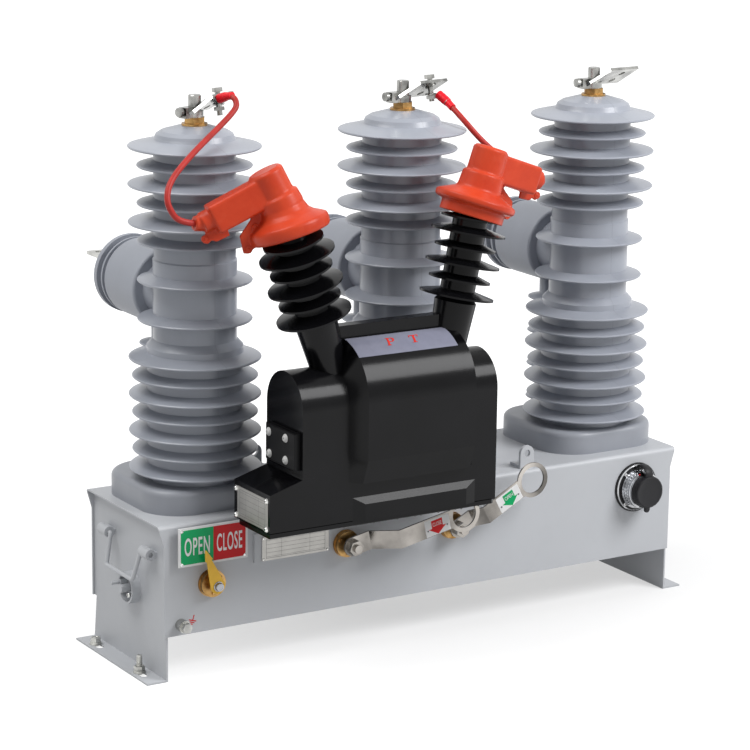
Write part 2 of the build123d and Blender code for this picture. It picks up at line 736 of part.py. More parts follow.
# A cap's own frame has its axis up from the bushing's lip. Its arm points along +X of the
# arm's frame, and the soft tip of the nozzle bends with its lead.
def cap_place(side):
    lip = (bushing_place(side) * Pos(0, 0, LIP)).position
    shift = CAP_SHIFT[side]
    place = Pos(lip.X + shift[0], lip.Y, lip.Z + shift[1]) * Rot(-CAP_LEAN_BACK[side], 0, 0)
    return place * Rot(0, side * CAP_LEAN[side], 0)


def arm_turn(side):
    return Rot(0, 0, ARM_TURN[side] + (180 if side < 0 else 0))


def tip_place(side):
    return Pos(NOZZLE_REACH, 0, NOZZLE_Z) * Rot(0, TIP_LIFT[side], 0) * Rot(0, 0, TIP_TURN[side])


def cap_profile():
    rim_z = CAP_SKIRT + CAP_RIM
    return [(0, -1), (CAP_SKIRT_R, -1), (CAP_SKIRT_R, CAP_SKIRT - 2), (CAP_R - 3, CAP_SKIRT),
            (CAP_R, CAP_SKIRT + 3), (CAP_R, rim_z - 2), (CAP_R - 2, rim_z),
            (CAP_COLLAR_R + 2, CAP_COLLAR_Z), (CAP_COLLAR_R, CAP_COLLAR_Z + 3),
            (CAP_COLLAR_R - 1.5, CAP_HEAD_Z - 2), (CAP_COLLAR_R - 4, CAP_HEAD_Z),
            (CAP_HEAD_R, CAP_HEAD_Z + 1), (CAP_HEAD_R, CAP_TALL - 4), (CAP_HEAD_R - 4, CAP_TALL),
            (0, CAP_TALL)]


def cap(side):
    arm = block(0, ARM_REACH, -ARM_HALF, ARM_HALF, ARM_LOW, ARM_HIGH)
    arm = fillet(arm.edges().filter_by(Axis.X), 5)
    arm = fillet(arm.edges().group_by(Axis.X)[-1], 3)
    ring = rod_x(0, NOZZLE_Z, RING_R, ARM_REACH - 1, NOZZLE_REACH)
    tip = tip_place(side) * rod_x(0, 0, TIP_R, -6, TIP_LONG)
    bore = tip_place(side) * rod_x(0, 0, LEAD_R, TIP_LONG - SOCKET_DEEP, TIP_LONG + 1)
    under = prism_xz([(ARM_REACH - 14, ARM_LOW + 4), (ARM_REACH - 12, ARM_LOW - 10),
                      (ARM_REACH + 8, ARM_LOW - 9), (ARM_REACH + 13, ARM_LOW - 4),
                      (ARM_REACH + 20, ARM_LOW - 6), (ARM_REACH + 26, ARM_LOW - 1),
                      (ARM_REACH + 12, NOZZLE_Z - 9), (ARM_REACH, NOZZLE_Z - 9)], -SEAM / 2, SEAM / 2)
    flap = prism_xz([(24, ARM_LOW + 2), (44, ARM_LOW + 2), (46, ARM_LOW - 4), (70, CAP_COLLAR_Z + 1),
                     (76, CAP_SKIRT - 1), (70, CAP_SKIRT - 5), (50, CAP_SKIRT - 6), (44, CAP_SKIRT + 2),
                     (28, CAP_COLLAR_Z)], -SEAM / 2, SEAM / 2)
    arm = arm + ring + tip + under + flap - bore
    shape = turned(cap_profile()) + arm_turn(side) * arm
    hollow = bushing_place(side) * turned([(0, -3)] + bushing_profile(FIT))
    return cap_place(side) * shape - hollow


export(transformer_body(), "voltage_transformer")
export(transformer_cover(), "transformer_cover")
export(shelf(), "transformer_shelf")
export(cap(-1), "bushing_cap_left")
export(cap(1), "bushing_cap_right")


# Leads from the pads of poles 1 and 2 to the caps
def nozzle_point(side, reach):
    place = cap_place(side) * arm_turn(side) * tip_place(side)
    return tuple((place * Pos(TIP_LONG + reach, 0, 0)).position)


def lead(points, name):
    runs = [math.dist(a, b) for a, b in zip(points, points[1:])]
    radii = []
    for i in range(1, len(points) - 1):
        a = Vector(*points[i]) - Vector(*points[i - 1])
        b = Vector(*points[i + 1]) - Vector(*points[i])
        half = math.radians(a.get_angle(b) / 2)
        radii.append(0.45 * min(runs[i - 1], runs[i]) / math.tan(half))
    path = FilletPolyline(*points, radius=radii)
    section = Plane(path @ 0, z_dir=path % 0) * Circle(LEAD_R)
    tube = sweep(section, path)
    print(name, "radii", [round(r) for r in radii], "runs", [round(r) for r in runs],
          "volume ratio", round(tube.volume / (math.pi * LEAD_R ** 2 * path.length), 4))
    export(tube, name)


def on_pole(index, x, y, z):
    return (POLES[index] + x, POLE_Y + y, NUT_TOP + z)


LEAD_LEFT = [on_pole(0, 41.5, -14.5, 27.3), on_pole(0, 44.5, -30.5, 30.5), on_pole(0, 45.5, -40.5, 18.5),
             on_pole(0, 34.0, -46.5, 8.5), on_pole(0, 7.5, -59.5, -6.2), on_pole(0, -38.1, -87.5, -26.0),
             (-405.7, -114.0, 730.4), (-433.3, -130.0, 712.0), (-444.5, -139.5, 695.0),
             (-444.5, -145.0, 678.0)]
LEAD_LEFT.append(nozzle_point(-1, 21.0))
LEAD_LEFT.append(nozzle_point(-1, 1.0 - SOCKET_DEEP))
LEAD_RIGHT = [on_pole(1, 64.4, -20.5, -2.5), on_pole(1, 65.9, -59.0, -21.9), on_pole(1, 84.9, -70.8, -47.6),
              (112.0, -92.0, 706.0), (129.0, -115.0, 688.0)]
LEAD_RIGHT.append(nozzle_point(1, 18.0))
LEAD_RIGHT.append(nozzle_point(1, 1.0 - SOCKET_DEEP))
lead(LEAD_LEFT, "lead_left")
lead(LEAD_RIGHT, "lead_right")

# Cable lugs: each hangs on a loose bolt through the front hole of its pad
BOLT_WAY = (-0.05, 0.14, 0.99)
BOLT_R = 4.0
BOLT_UP = 9.0
BOLT_DOWN = 24.0
LUG_EYE_R = 8.5
TONGUE = 12.0
TONGUE_THICK = 2.2
SLEEVE_R = 6.3
SLEEVE_GRIP = 9.0
SLEEVE_PLAY = 0.05


def rod_between(a, b, r):
    way = Vector(*b) - Vector(*a)
    return extrude(Plane(a, z_dir=way) * Circle(r), way.length)


def lead_lug(index, drop, nut_low, sleeve_from, route):
    pad = Pos(POLES[index], POLE_Y, 0) * Rot(0, 0, TERMINAL_TURN[index]) * pad_place()
    hole = (pad * Pos(PAD_HOLE_X, PAD_HOLE_Y, -PAD_THICK / 2)).position
    way = Vector(*BOLT_WAY).normalized()
    bolt_plane = Plane(hole, z_dir=way)
    bolt = bolt_plane * rod_z(0, 0, BOLT_R, -BOLT_DOWN, BOLT_UP + 1)
    head = bolt_plane * hexagon_z(0, 0, 13, BOLT_UP, BOLT_UP + 6)
    washers = pad * rod_z(PAD_HOLE_X, PAD_HOLE_Y, LUG_EYE_R, 0, 1.6)
    washers = washers + pad * rod_z(PAD_HOLE_X, PAD_HOLE_Y, LUG_EYE_R, -PAD_THICK - 1.6, -PAD_THICK)
    eye = hole - way * drop
    out = Vector(*sleeve_from) - eye
    flat = Plane(eye, x_dir=out, z_dir=out.cross(way.cross(out)))
    tongue = flat * Pos(out.length / 2, 0, 0) * Box(out.length, TONGUE, TONGUE_THICK)
    ring = flat * Cylinder(LUG_EYE_R, TONGUE_THICK)
    nuts = bolt_plane * hexagon_z(0, 0, 13, -drop - nut_low - 5, -drop - nut_low)
    start = Vector(*route[0])
    way_on = (Vector(*route[1]) - start).normalized()
    sleeve = rod_between(sleeve_from, start, SLEEVE_R)
    sleeve = sleeve + rod_between(start, start + way_on * SLEEVE_GRIP, SLEEVE_R - 1)
    sleeve = sleeve - rod_between(start, start + way_on * (SLEEVE_GRIP + 1), LEAD_R + SLEEVE_PLAY)
    return bolt + head + washers + tongue + ring + nuts + sleeve


export(lead_lug(0, 8.0, 4.0, on_pole(0, 38.0, -2.0, 23.0), LEAD_LEFT), "lead_left_lug")
export(lead_lug(1, 13.5, 2.0, on_pole(1, 58.6, -4.5, 7.5), LEAD_RIGHT), "lead_right_lug")
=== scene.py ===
import math

import bpy
import bmesh
from bpy.props import FloatProperty, FloatVectorProperty, PointerProperty
from mathutils import Matrix, Vector


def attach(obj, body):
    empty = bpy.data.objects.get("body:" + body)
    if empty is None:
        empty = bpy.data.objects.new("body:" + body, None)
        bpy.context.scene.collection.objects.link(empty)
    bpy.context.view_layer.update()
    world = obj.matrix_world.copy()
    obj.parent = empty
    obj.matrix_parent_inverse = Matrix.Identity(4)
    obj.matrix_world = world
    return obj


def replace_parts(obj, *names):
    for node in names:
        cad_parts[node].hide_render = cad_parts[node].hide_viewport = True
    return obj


bl_info = {
    "name": "Outdoor Vacuum Circuit Breaker",
    "version": (1, 0, 0),
    "blender": (4, 5, 0),
    "location": "View3D > Sidebar > Breaker",
    "description": "Dresses the packed breaker with finishes, signs, screws, leads and a stage",
    "category": "Object",
}

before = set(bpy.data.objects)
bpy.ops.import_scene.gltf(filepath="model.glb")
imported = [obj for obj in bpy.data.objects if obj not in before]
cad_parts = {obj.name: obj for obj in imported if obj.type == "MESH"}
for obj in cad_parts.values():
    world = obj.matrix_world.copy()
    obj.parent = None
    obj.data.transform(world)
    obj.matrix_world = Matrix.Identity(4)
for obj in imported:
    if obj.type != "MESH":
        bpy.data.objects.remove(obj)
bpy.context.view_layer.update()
BODY = "breaker"
HERE = Matrix.Identity(4)


# Settings a user would change
def colour(name, description, default):
    return FloatVectorProperty(name=name, description=description, default=default,
                               subtype="COLOR", size=3, min=0.0, max=1.0)


def length(name, description, default):
    return FloatProperty(name=name, description=description, default=default,
                         unit="LENGTH", subtype="DISTANCE", min=0.0, precision=4)


class BreakerColours(bpy.types.PropertyGroup):
    """Colours of the painted, cast and moulded surfaces."""

    housing: colour("Housing paint", "Light grey powder coat of the housing", (0.520, 0.536, 0.562))
    plinth: colour("Plinth", "Grey cast resin under each pole", (0.290, 0.305, 0.340))
    insulator: colour("Insulator", "Grey silicone skin of the poles", (0.335, 0.356, 0.404))
    drum: colour("Drum", "Grey resin of the current transformers", (0.335, 0.355, 0.402))
    epoxy: colour("Cast epoxy", "Black resin of the voltage transformer", (0.0030, 0.0030, 0.0036))
    silicone: colour("Silicone cap", "Orange-red caps on the bushings", (0.590, 0.046, 0.014))
    lead: colour("Lead", "Red insulation of the two leads", (0.430, 0.030, 0.024))
    sleeve: colour("Sleeve", "Brighter red sleeve on each cable lug", (0.800, 0.008, 0.020))
    sign_open: colour("Open field", "Green field of the switch sign", (0.000, 0.360, 0.115))
    sign_close: colour("Close field", "Red field of the switch sign", (0.560, 0.006, 0.010))
    arrow_close: colour("Close arrow", "Red arrow on the closing lever", (0.620, 0.006, 0.008))
    pointer: colour("Pointer", "Yellow paint of the pointer", (0.930, 0.560, 0.075))
    rubber: colour("Socket cap", "Black rubber cap of the control socket", (0.013, 0.013, 0.015))


class BreakerSizes(bpy.types.PropertyGroup):
    """Sizes of the small pieces that the scene adds."""

    lead_diameter: length("Lead diameter", "Outside diameter of each lead", 0.0084)
    bolt: length("Foot bolt", "Thread diameter of the foot bolts", 0.0086)
    sign_screw: length("Sign screw", "Head diameter of the sign's corner screws", 0.005)
    cover_screw: length("Cover screw", "Washer diameter of the end cover's screws", 0.0120)
    rivet: length("Cap rivet", "Head diameter of the rivets on the silicone caps", 0.0105)
    letter: length("Letter height", "Height of the letters on the switch sign", 0.0258)
    floor: length("Floor", "Width of the plain floor", 40.0)


def colours():
    return bpy.context.scene.breaker_colours


def sizes():
    return bpy.context.scene.breaker_sizes


# Node building for materials
class Wire:
    """One output of a node, with arithmetic that adds Math nodes."""

    def __init__(self, nodes, socket):
        self.nodes = nodes
        self.socket = socket

    def _math(self, operation, *terms):
        return self.nodes.node("ShaderNodeMath", {"operation": operation}, dict(enumerate(terms)))

    def __add__(self, other):
        return self._math("ADD", self, other)

    __radd__ = __add__

    def __sub__(self, other):
        return self._math("SUBTRACT", self, other)

    def __rsub__(self, other):
        return self._math("SUBTRACT", other, self)

    def __mul__(self, other):
        return self._math("MULTIPLY", self, other)

    __rmul__ = __mul__

    def __truediv__(self, other):
        return self._math("DIVIDE", self, other)

    def __rtruediv__(self, other):
        return self._math("DIVIDE", other, self)

    def __abs__(self):
        return self._math("ABSOLUTE", self)

    def below(self, limit):
        return self._math("LESS_THAN", self, limit)

    def wrapped(self, reach):
        """The value carried round between -reach and reach."""
        return self._math("WRAP", self, reach, -reach)


class Nodes:
    """A node tree, with one method that adds a node, sets it and feeds it."""

    def __init__(self, tree):
        self.tree = tree

    def feed(self, socket, value):
        if isinstance(value, Wire):
            self.tree.links.new(value.socket, socket)
        else:
            socket.default_value = value

    def node(self, kind, settings=None, inputs=None, output=0):
        made = self.tree.nodes.new(kind)
        for key, value in (settings or {}).items():
            if key == "stops":
                self.set_stops(made.color_ramp, value)
            else:
                setattr(made, key, value)
        for key, value in (inputs or {}).items():
            self.feed(made.inputs[key], value)
        return Wire(self, made.outputs[output])

    def set_stops(self, ramp, stops):
        """Two stops, each a place on the ramp with a grey level or a colour."""
        for element, (at, tone) in zip(ramp.elements, stops):
            channels = tone if isinstance(tone, tuple) else (tone, tone, tone)
            element.position = at
            element.color = (*channels, 1.0)


class Finish(Nodes):
    """A material with one Principled shader, and the nodes that feed it."""

    def __init__(self, name, base, **sockets):
        self.material = bpy.data.materials.new(name)
        self.material.use_nodes = True
        self.material.diffuse_color = (*base, 1.0)
        super().__init__(self.material.node_tree)
        self.shader = next(n for n in self.tree.nodes if n.type == "BSDF_PRINCIPLED")
        self.set("Base Color", (*base, 1.0))
        for key, value in sockets.items():
            self.set(key.replace("_", " "), value)

    def set(self, socket, value):
        self.feed(self.shader.inputs[socket], value)

    def place(self):
        return self.node("ShaderNodeTexCoord", output="Object")

    def axes(self):
        """X, Y and Z of the place on the object."""
        at = self.place()
        return [self.node("ShaderNodeSeparateXYZ", None, {0: at}, output=i) for i in range(3)]

    def vector(self, operation, *terms, output=0):
        return self.node("ShaderNodeVectorMath", {"operation": operation}, dict(enumerate(terms)), output)

    def noise(self, scale, detail=3.0, rough=0.5, stretch=None):
        at = self.place()
        if stretch:
            at = self.vector("MULTIPLY", at, stretch)
        return self.node("ShaderNodeTexNoise", None,
                         {"Vector": at, "Scale": scale, "Detail": detail, "Roughness": rough})

    def ramp(self, value, *stops):
        return self.node("ShaderNodeValToRGB", {"stops": stops}, {0: value})

    def tone(self, value, base, dark, light, low=0.30, high=0.75):
        """The base colour, darkened where the value is low and lightened where it is high."""
        return self.ramp(value, (low, shade(base, dark)), (high, shade(base, light)))

    def mix(self, share, under, over):
        """A share of a plain colour over what lies under it."""
        return self.node("ShaderNodeMix", {"data_type": "RGBA"},
                         {0: share, 6: under, 7: (*over, 1.0)}, output=2)

    def bump(self, height, strength, distance, under=None):
        """Relief on the shader's normal, over an earlier relief where one is given."""
        inputs = {"Height": height, "Strength": strength, "Distance": distance}
        if under:
            inputs["Normal"] = under
        normal = self.node("ShaderNodeBump", None, inputs)
        self.set("Normal", normal)
        return normal


def shade(base, factor):
    return tuple(min(1.0, channel * factor) for channel in base)


# Bright metals: colour, roughness, depth of the dark blotches (painted dark reflections), scratches, and
# blotches to a metre
METALS = {
    "tinned_steel": ((0.44, 0.44, 0.42), 0.17, 0.62, 0.40, 55.0),
    "tinned_bar": ((0.60, 0.60, 0.57), 0.26, 0.30, 0.30, 55.0),
    "lug_tin": ((0.44, 0.44, 0.42), 0.18, 0.60, 0.25, 55.0),
    "lever_steel": ((0.42, 0.395, 0.365), 0.14, 0.72, 0.30, 17.0),
    "bolt_steel": ((0.50, 0.50, 0.48), 0.18, 0.45, 0.25, 55.0),
    "chrome": ((0.72, 0.73, 0.75), 0.06, 0.70, 0.10, 55.0),
    "knurl_chrome": ((0.55, 0.56, 0.58), 0.10, 0.50, 0.25, 55.0),
    "screw_steel": ((0.70, 0.70, 0.69), 0.20, 0.25, 0.25, 55.0),
    "plate_screw_steel": ((0.72, 0.72, 0.70), 0.18, 0.25, 0.25, 55.0),
    "pointer_screw_steel": ((0.40, 0.41, 0.44), 0.14, 0.45, 0.25, 55.0),
    "socket_screw_steel": ((0.66, 0.66, 0.66), 0.14, 0.40, 0.25, 55.0),
    "boss_screw_steel": ((0.62, 0.62, 0.60), 0.20, 0.30, 0.25, 55.0),
    "foot_bolt_steel": ((0.56, 0.56, 0.53), 0.20, 0.45, 0.25, 55.0),
    "pin_steel": ((0.10, 0.10, 0.11), 0.40, 0.25, 0.25, 55.0),
}
BRASS = (0.420, 0.262, 0.105)
BRASS_DULL = (0.235, 0.130, 0.044)
BRASS_BRIGHT = (0.540, 0.335, 0.130)
SILICONE_LIGHT = (0.660, 0.068, 0.022)
SILICONE_CHALK = (0.85, 0.30, 0.18)
PLATE_METAL = (0.40, 0.39, 0.37)
PLATE_INK = (0.06, 0.06, 0.06)
PRINT_WHITE = (0.80, 0.80, 0.80)
MARK_RED = (0.62, 0.010, 0.012)

# Half widths of the mould seams and of the lines on the bare plates, and the margins of those plates
POLE_SEAM = 0.00055
CAP_SEAM = 0.0006
ROW_LINE = 0.00022
BORDER_LINE = 0.0003
PLATE_BORDER = (0.0070, 0.0040)


def housing_finish(name="housing_paint"):
    """Powder coat with faint clouds, dust and a fine grain."""
    base = tuple(colours().housing)
    paint = Finish(name, base, IOR=1.5)
    smear = paint.noise(26.0, 5.0, 0.65)
    tone = paint.tone(paint.noise(5.0, 4.0, 0.6), base, 0.955, 1.035, high=0.72)
    dust = paint.ramp(smear, (0.52, 0.0), (0.80, 1.0))
    paint.set("Base Color", paint.mix(dust * 0.16, tone, shade(base, 0.86)))
    paint.set("Roughness", 0.40 + smear * 0.12)
    paint.bump(paint.noise(900.0, 2.0, 0.6), 0.30, 0.00018)
    return paint.material


def plinth_finish():
    """Cast grey resin with faint clouds."""
    base = tuple(colours().plinth)
    resin = Finish("plinth_grey", base, IOR=1.5)
    resin.set("Base Color", resin.tone(resin.noise(14.0, 4.0), base, 0.93, 1.06))
    resin.set("Roughness", 0.34 + resin.noise(60.0, 3.0) * 0.10)
    resin.bump(resin.noise(420.0, 2.0), 0.18, 0.0002)
    return resin.material


def pole_finish(name, base, rough):
    """Grey skin with dusty streaks, and the mould's seam in each pole's middle plane."""
    resin = Finish(name, base, IOR=1.5)
    x = resin.axes()[0]
    cloud = resin.noise(9.0, 4.0, 0.6)
    streak = resin.noise(30.0, 4.0, 0.6, stretch=(1.0, 1.0, 0.12))
    seam = abs((x - POLE_MIDDLE).wrapped(POLE_PITCH / 2)).below(POLE_SEAM)
    dusty = resin.ramp(streak, (0.50, 0.0), (0.85, 1.0))
    toned = resin.mix(dusty * 0.20, resin.tone(cloud, base, 0.94, 1.05), shade(base, 1.22))
    resin.set("Base Color", resin.mix(seam * 0.35, toned, shade(base, 0.62)))
    resin.set("Roughness", rough + cloud * 0.10)
    under = resin.bump(resin.noise(520.0, 2.0), 0.12, 0.0002)
    resin.bump(seam, 0.5, 0.0004, under)
    return resin.material


def brass_finish():
    """Turned brass, dull in patches."""
    metal = Finish("brass", BRASS, Metallic=1.0)
    cloud = metal.noise(70.0, 5.0, 0.65)
    metal.set("Base Color", metal.ramp(cloud, (0.34, BRASS_DULL), (0.66, BRASS_BRIGHT)))
    metal.set("Roughness", 0.24 + cloud * 0.24)
    metal.bump(metal.noise(900.0, 2.0, stretch=(1.0, 1.0, 6.0)), 0.25, 0.0002)
    return metal.material


def steel_finish(name):
    """One of the bright metals, with dark blotches that paint in dark reflections, and fine scratches."""
    base, rough, reflection_blotch, scratch, patch = METALS[name]
    metal = Finish(name, base, Metallic=1.0)
    cloud = metal.noise(patch, 5.0, 0.45)
    # The dark blotches in the base colour are painted reflections of darker surroundings.
    metal.set("Base Color", metal.tone(cloud, base, 1.0 - reflection_blotch, 1.08, 0.32, 0.70))
    metal.set("Roughness", rough + cloud * 0.14)
    metal.bump(metal.noise(420.0, 3.0, 0.6, stretch=(1.0, 1.0, 8.0)), scratch, 0.0002)
    return metal.material


def epoxy_finish(name, rough):
    """Black cast resin with a low shine and a slightly uneven skin."""
    base = tuple(colours().epoxy)
    resin = Finish(name, base, IOR=1.5, Specular_IOR_Level=0.155)
    resin.set("Base Color", resin.tone(resin.noise(11.0, 4.0, 0.6), base, 0.8, 1.7))
    resin.set("Roughness", rough + resin.noise(150.0, 4.0, 0.6) * 0.09)
    under = resin.bump(resin.noise(8.0, 2.0), 0.10, 0.004)
    resin.bump(resin.noise(600.0, 2.0), 0.12, 0.00015, under)
    return resin.material


def silicone_finish(name, place):
    """Moulded silicone with a seam in the middle plane of its cap."""
    base = tuple(colours().silicone)
    skin = Finish(name, base, IOR=1.42, Specular_IOR_Level=0.30)
    bloom = skin.noise(60.0, 4.0, 0.6)
    tone = skin.ramp(skin.noise(18.0, 4.0, 0.6), (0.30, shade(base, 0.90)), (0.75, SILICONE_LIGHT))
    chalk = skin.ramp(bloom, (0.55, 0.0), (0.85, 1.0))
    skin.set("Base Color", skin.mix(chalk * 0.08, tone, SILICONE_CHALK))
    skin.set("Roughness", 0.29 + bloom * 0.12)
    side = place.to_3x3() @ Vector((0, 1, 0))
    away = skin.vector("DOT_PRODUCT", skin.place(), side, output="Value") - side.dot(place.translation)
    under = skin.bump(skin.noise(22.0, 3.0), 0.22, 0.004)
    under = skin.bump(skin.noise(700.0, 2.0), 0.15, 0.0002, under)
    skin.bump(abs(away).below(CAP_SEAM), 0.6, 0.0005, under)
    return skin.material


def rubber_finish(name, base, rough):
    """Rubber or cable insulation."""
    skin = Finish(name, base, IOR=1.45, Specular_IOR_Level=0.3)
    cloud = skin.noise(40.0, 4.0, 0.6)
    skin.set("Base Color", skin.tone(cloud, base, 0.85, 1.15))
    skin.set("Roughness", rough + cloud * 0.12)
    skin.bump(skin.noise(500.0, 2.0), 0.2, 0.0002)
    return skin.material


def paint_finish(name, base, rough=0.3, wear=0.125):
    """Print or paint with a faintly worn gloss."""
    paint = Finish(name, base, IOR=1.5, Specular_IOR_Level=0.2)
    cloud = paint.noise(60.0, 4.0, 0.6)
    paint.set("Base Color", paint.tone(cloud, base, 0.92, 1.06))
    paint.set("Roughness", rough + cloud * wear)
    paint.bump(paint.noise(800.0, 2.0), 0.12, 0.0001)
    return paint.material


def plate_finish(name, axis, across, up, wide, tall):
    """Bare brushed plate with a printed border and blank ruled rows."""
    plate = Finish(name, PLATE_METAL)
    x, y, z = plate.axes()
    along = abs((x if axis == "x" else y) - across)
    rise = z - up
    side = wide / 2 - PLATE_BORDER[0]
    half = tall / 2 - PLATE_BORDER[1]
    inside = along.below(side) * abs(rise).below(half)
    rows = abs(rise.wrapped(tall / 12)).below(ROW_LINE) * inside
    columns = abs(along - wide * 0.21).below(ROW_LINE) * inside
    edge = abs(along - side).below(BORDER_LINE) * abs(rise).below(half + BORDER_LINE)
    rim = abs(abs(rise) - half).below(BORDER_LINE) * along.below(side + BORDER_LINE)
    ink = plate.node("ShaderNodeClamp", None, {"Value": rows + columns + edge + rim})
    brushed = plate.noise(300.0, 3.0, 0.6, stretch=(0.05, 0.05, 3.0))
    tone = plate.tone(plate.noise(40.0, 4.0), PLATE_METAL, 0.88, 1.08, high=0.70)
    plate.set("Base Color", plate.mix(ink * 0.8, tone, PLATE_INK))
    plate.set("Metallic", 0.85 - ink * 0.7)
    plate.set("Roughness", 0.34 + brushed * 0.16)
    plate.bump(brushed, 0.15, 0.0001)
    return plate.material


# Meshes
ROUND_STEPS = 4
HOOP_STEPS = 64
SLEEVE_STEPS = 20


def shape_piece(name, bm, material, body=BODY, crease=35.0):
    """Turn a bmesh into a piece that rides on a body."""
    mesh = bpy.data.meshes.new(name)
    bmesh.ops.recalc_face_normals(bm, faces=bm.faces)
    bm.to_mesh(mesh)
    bm.free()
    mesh.shade_smooth()
    mesh.set_sharp_from_angle(angle=math.radians(crease))
    mesh.materials.append(material)
    return place_piece(name, mesh, body)


def place_piece(name, data, body=BODY):
    piece = bpy.data.objects.new(name, data)
    bpy.context.scene.collection.objects.link(piece)
    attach(piece, body)
    return piece


def seat(at, normal):
    """Frame on a surface: its Z runs out along the normal."""
    return Matrix.Translation(Vector(at)) @ Vector(normal).to_track_quat("Z", "Y").to_matrix().to_4x4()


def front(x, y, z, turn=0.0):
    """Frame on a surface that faces the front: X to the right, Y up."""
    face = Matrix(((1, 0, 0, x), (0, 0, -1, y), (0, 1, 0, z), (0, 0, 0, 1)))
    return face @ Matrix.Rotation(turn, 4, "Z")


def left_end(x, y, z, turn=0.0):
    """Frame on a surface that faces left: X towards the front, Y up."""
    face = Matrix(((0, 0, -1, x), (-1, 0, 0, y), (0, 1, 0, z), (0, 0, 0, 1)))
    return face @ Matrix.Rotation(turn, 4, "Z")


def corners(x, z, wide, tall):
    """Corners of a rectangle on the front, each with its signs to the right and up."""
    return [(x + sx * wide / 2, z + sz * tall / 2, sx, sz) for sx in (-1, 1) for sz in (-1, 1)]


def vert_rows(bm, rings, place):
    return [[bm.verts.new(place @ Vector(point)) for point in points] for points in rings]


def bridge(bm, rows):
    """Faces between each closed row of vertices and the next."""
    for low, high in zip(rows, rows[1:]):
        for i in range(len(low)):
            j = (i + 1) % len(low)
            bm.faces.new((low[i], low[j], high[j], high[i]))


def loft(bm, rings, place):
    """Skin through closed rings of points, capped at both ends."""
    rows = vert_rows(bm, rings, place)
    bridge(bm, rows)
    bm.faces.new(rows[0][::-1])
    bm.faces.new(rows[-1])


def ring(radius, z, steps=24):
    """Closed ring; the radius is a number or a function of the angle."""
    points = []
    for i in range(steps):
        angle = math.tau * i / steps
        reach = radius(angle) if callable(radius) else radius
        points.append((reach * math.cos(angle), reach * math.sin(angle), z))
    return points


def turned(bm, profile, place, steps=24):
    """Closed round form from (radius, height) pairs."""
    loft(bm, [ring(radius, height, steps) for radius, height in profile], place)


def hexagon(across, limit=None):
    """Radius of a hexagon across its flats, cut back to a circle where one is given."""
    def reach(angle):
        corner = across / 2 / math.cos((angle + math.pi / 6) % (math.pi / 3) - math.pi / 6)
        return min(corner, limit) if limit else corner
    return reach


def hex_head(bm, across, height, place):
    """Hexagonal nut or head with a chamfered crown and a shallow dish on top."""
    crown = across * 0.47
    turned(bm, ((hexagon(across, across * 0.54), 0), (hexagon(across), height * 0.12),
                (hexagon(across), height * 0.82), (hexagon(across, across * 0.50), height),
                (crown * 0.82, height), (crown * 0.76, height * 0.95)), place)


def disc(bm, radius, thick, place, round_over=0.25):
    """Disc with a broken upper edge."""
    edge = min(thick, radius) * round_over
    turned(bm, ((radius, 0), (radius, thick - edge), (radius - edge * 0.3, thick - edge * 0.3),
                (radius - edge, thick)), place)


def hoop(bm, inner, outer, thick, place):
    """Flat ring with a hole."""
    profile = ((inner, 0), (outer, 0), (outer, thick * 0.8), (outer - thick * 0.2, thick), (inner, thick))
    rows = vert_rows(bm, [ring(radius, height, HOOP_STEPS) for radius, height in profile], place)
    bridge(bm, rows + rows[:1])


def screw(bm, radius, height, place):
    """Domed screw head with a cross recess."""
    def cross(angle):
        return radius * 0.62 * (0.36 + 0.64 * abs(math.cos(2 * angle)) ** 2.5)
    turned(bm, ((radius, 0), (radius, height * 0.30), (radius * 0.90, height * 0.70),
                (radius * 0.72, height * 0.93), (radius * 0.64, height), (cross, height),
                (lambda angle: cross(angle) * 0.82, height * 0.45)), place)


def stud(bm, radius, long, pitch, place):
    """Threaded end: rings in and out at the pitch, and a chamfered tip."""
    core = radius * 0.90
    profile = [(core, 0)]
    for i in range(int((long - radius * 0.3) / pitch)):
        profile += [(radius, (i + 0.35) * pitch), (core, (i + 0.85) * pitch)]
    turned(bm, profile + [(radius * 0.72, long)], place)


def rounded(wide, tall, radius):
    """Outline of a rectangle with round corners, about its middle."""
    points = []
    for corner, (sx, sy) in enumerate(((1, 1), (-1, 1), (-1, -1), (1, -1))):
        for i in range(ROUND_STEPS + 1):
            angle = math.pi / 2 * (corner + i / ROUND_STEPS)
            points.append((sx * (wide / 2 - radius) + radius * math.cos(angle),
                           sy * (tall / 2 - radius) + radius * math.sin(angle)))
    return points


def board(bm, outline, thick, place, low=0.0):
    """Flat board from an outline, with its upper edge broken."""
    mid_x = sum(p[0] for p in outline) / len(outline)
    mid_y = sum(p[1] for p in outline) / len(outline)
    edge = (thick - low) * 0.4

    def drawn_in(by, z):
        points = []
        for x, y in outline:
            away = Vector((x - mid_x, y - mid_y))
            away = away * (1 - by / max(away.length, by * 2))
            points.append((mid_x + away.x, mid_y + away.y, z))
        return points

    loft(bm, [drawn_in(0, low), drawn_in(0, thick - edge), drawn_in(edge, thick)], place)


def lettering(name, words, place, size, material, body=BODY, bold=0.0, spread=1.0):
    """Raised letters fitted to a box that stands on a frame, about its middle."""
    data = bpy.data.curves.new(name, "FONT")
    data.body = words
    data.offset = bold
    data.space_character = spread
    data.extrude = 0.5
    holder = bpy.data.objects.new(name + "_font", data)
    bpy.context.scene.collection.objects.link(holder)
    bpy.context.view_layer.update()
    mesh = bpy.data.meshes.new_from_object(holder)
    bpy.data.objects.remove(holder)
    bpy.data.curves.remove(data)
    low = [min(v.co[i] for v in mesh.vertices) for i in range(3)]
    high = [max(v.co[i] for v in mesh.vertices) for i in range(3)]
    for v in mesh.vertices:
        across, up, out = [(v.co[i] - low[i]) / (high[i] - low[i]) for i in range(3)]
        v.co = ((across - 0.5) * size[0], (up - 0.5) * size[1], out * size[2])
    mesh.transform(place)
    mesh.materials.clear()
    mesh.materials.append(material)
    return place_piece(name, mesh, body)


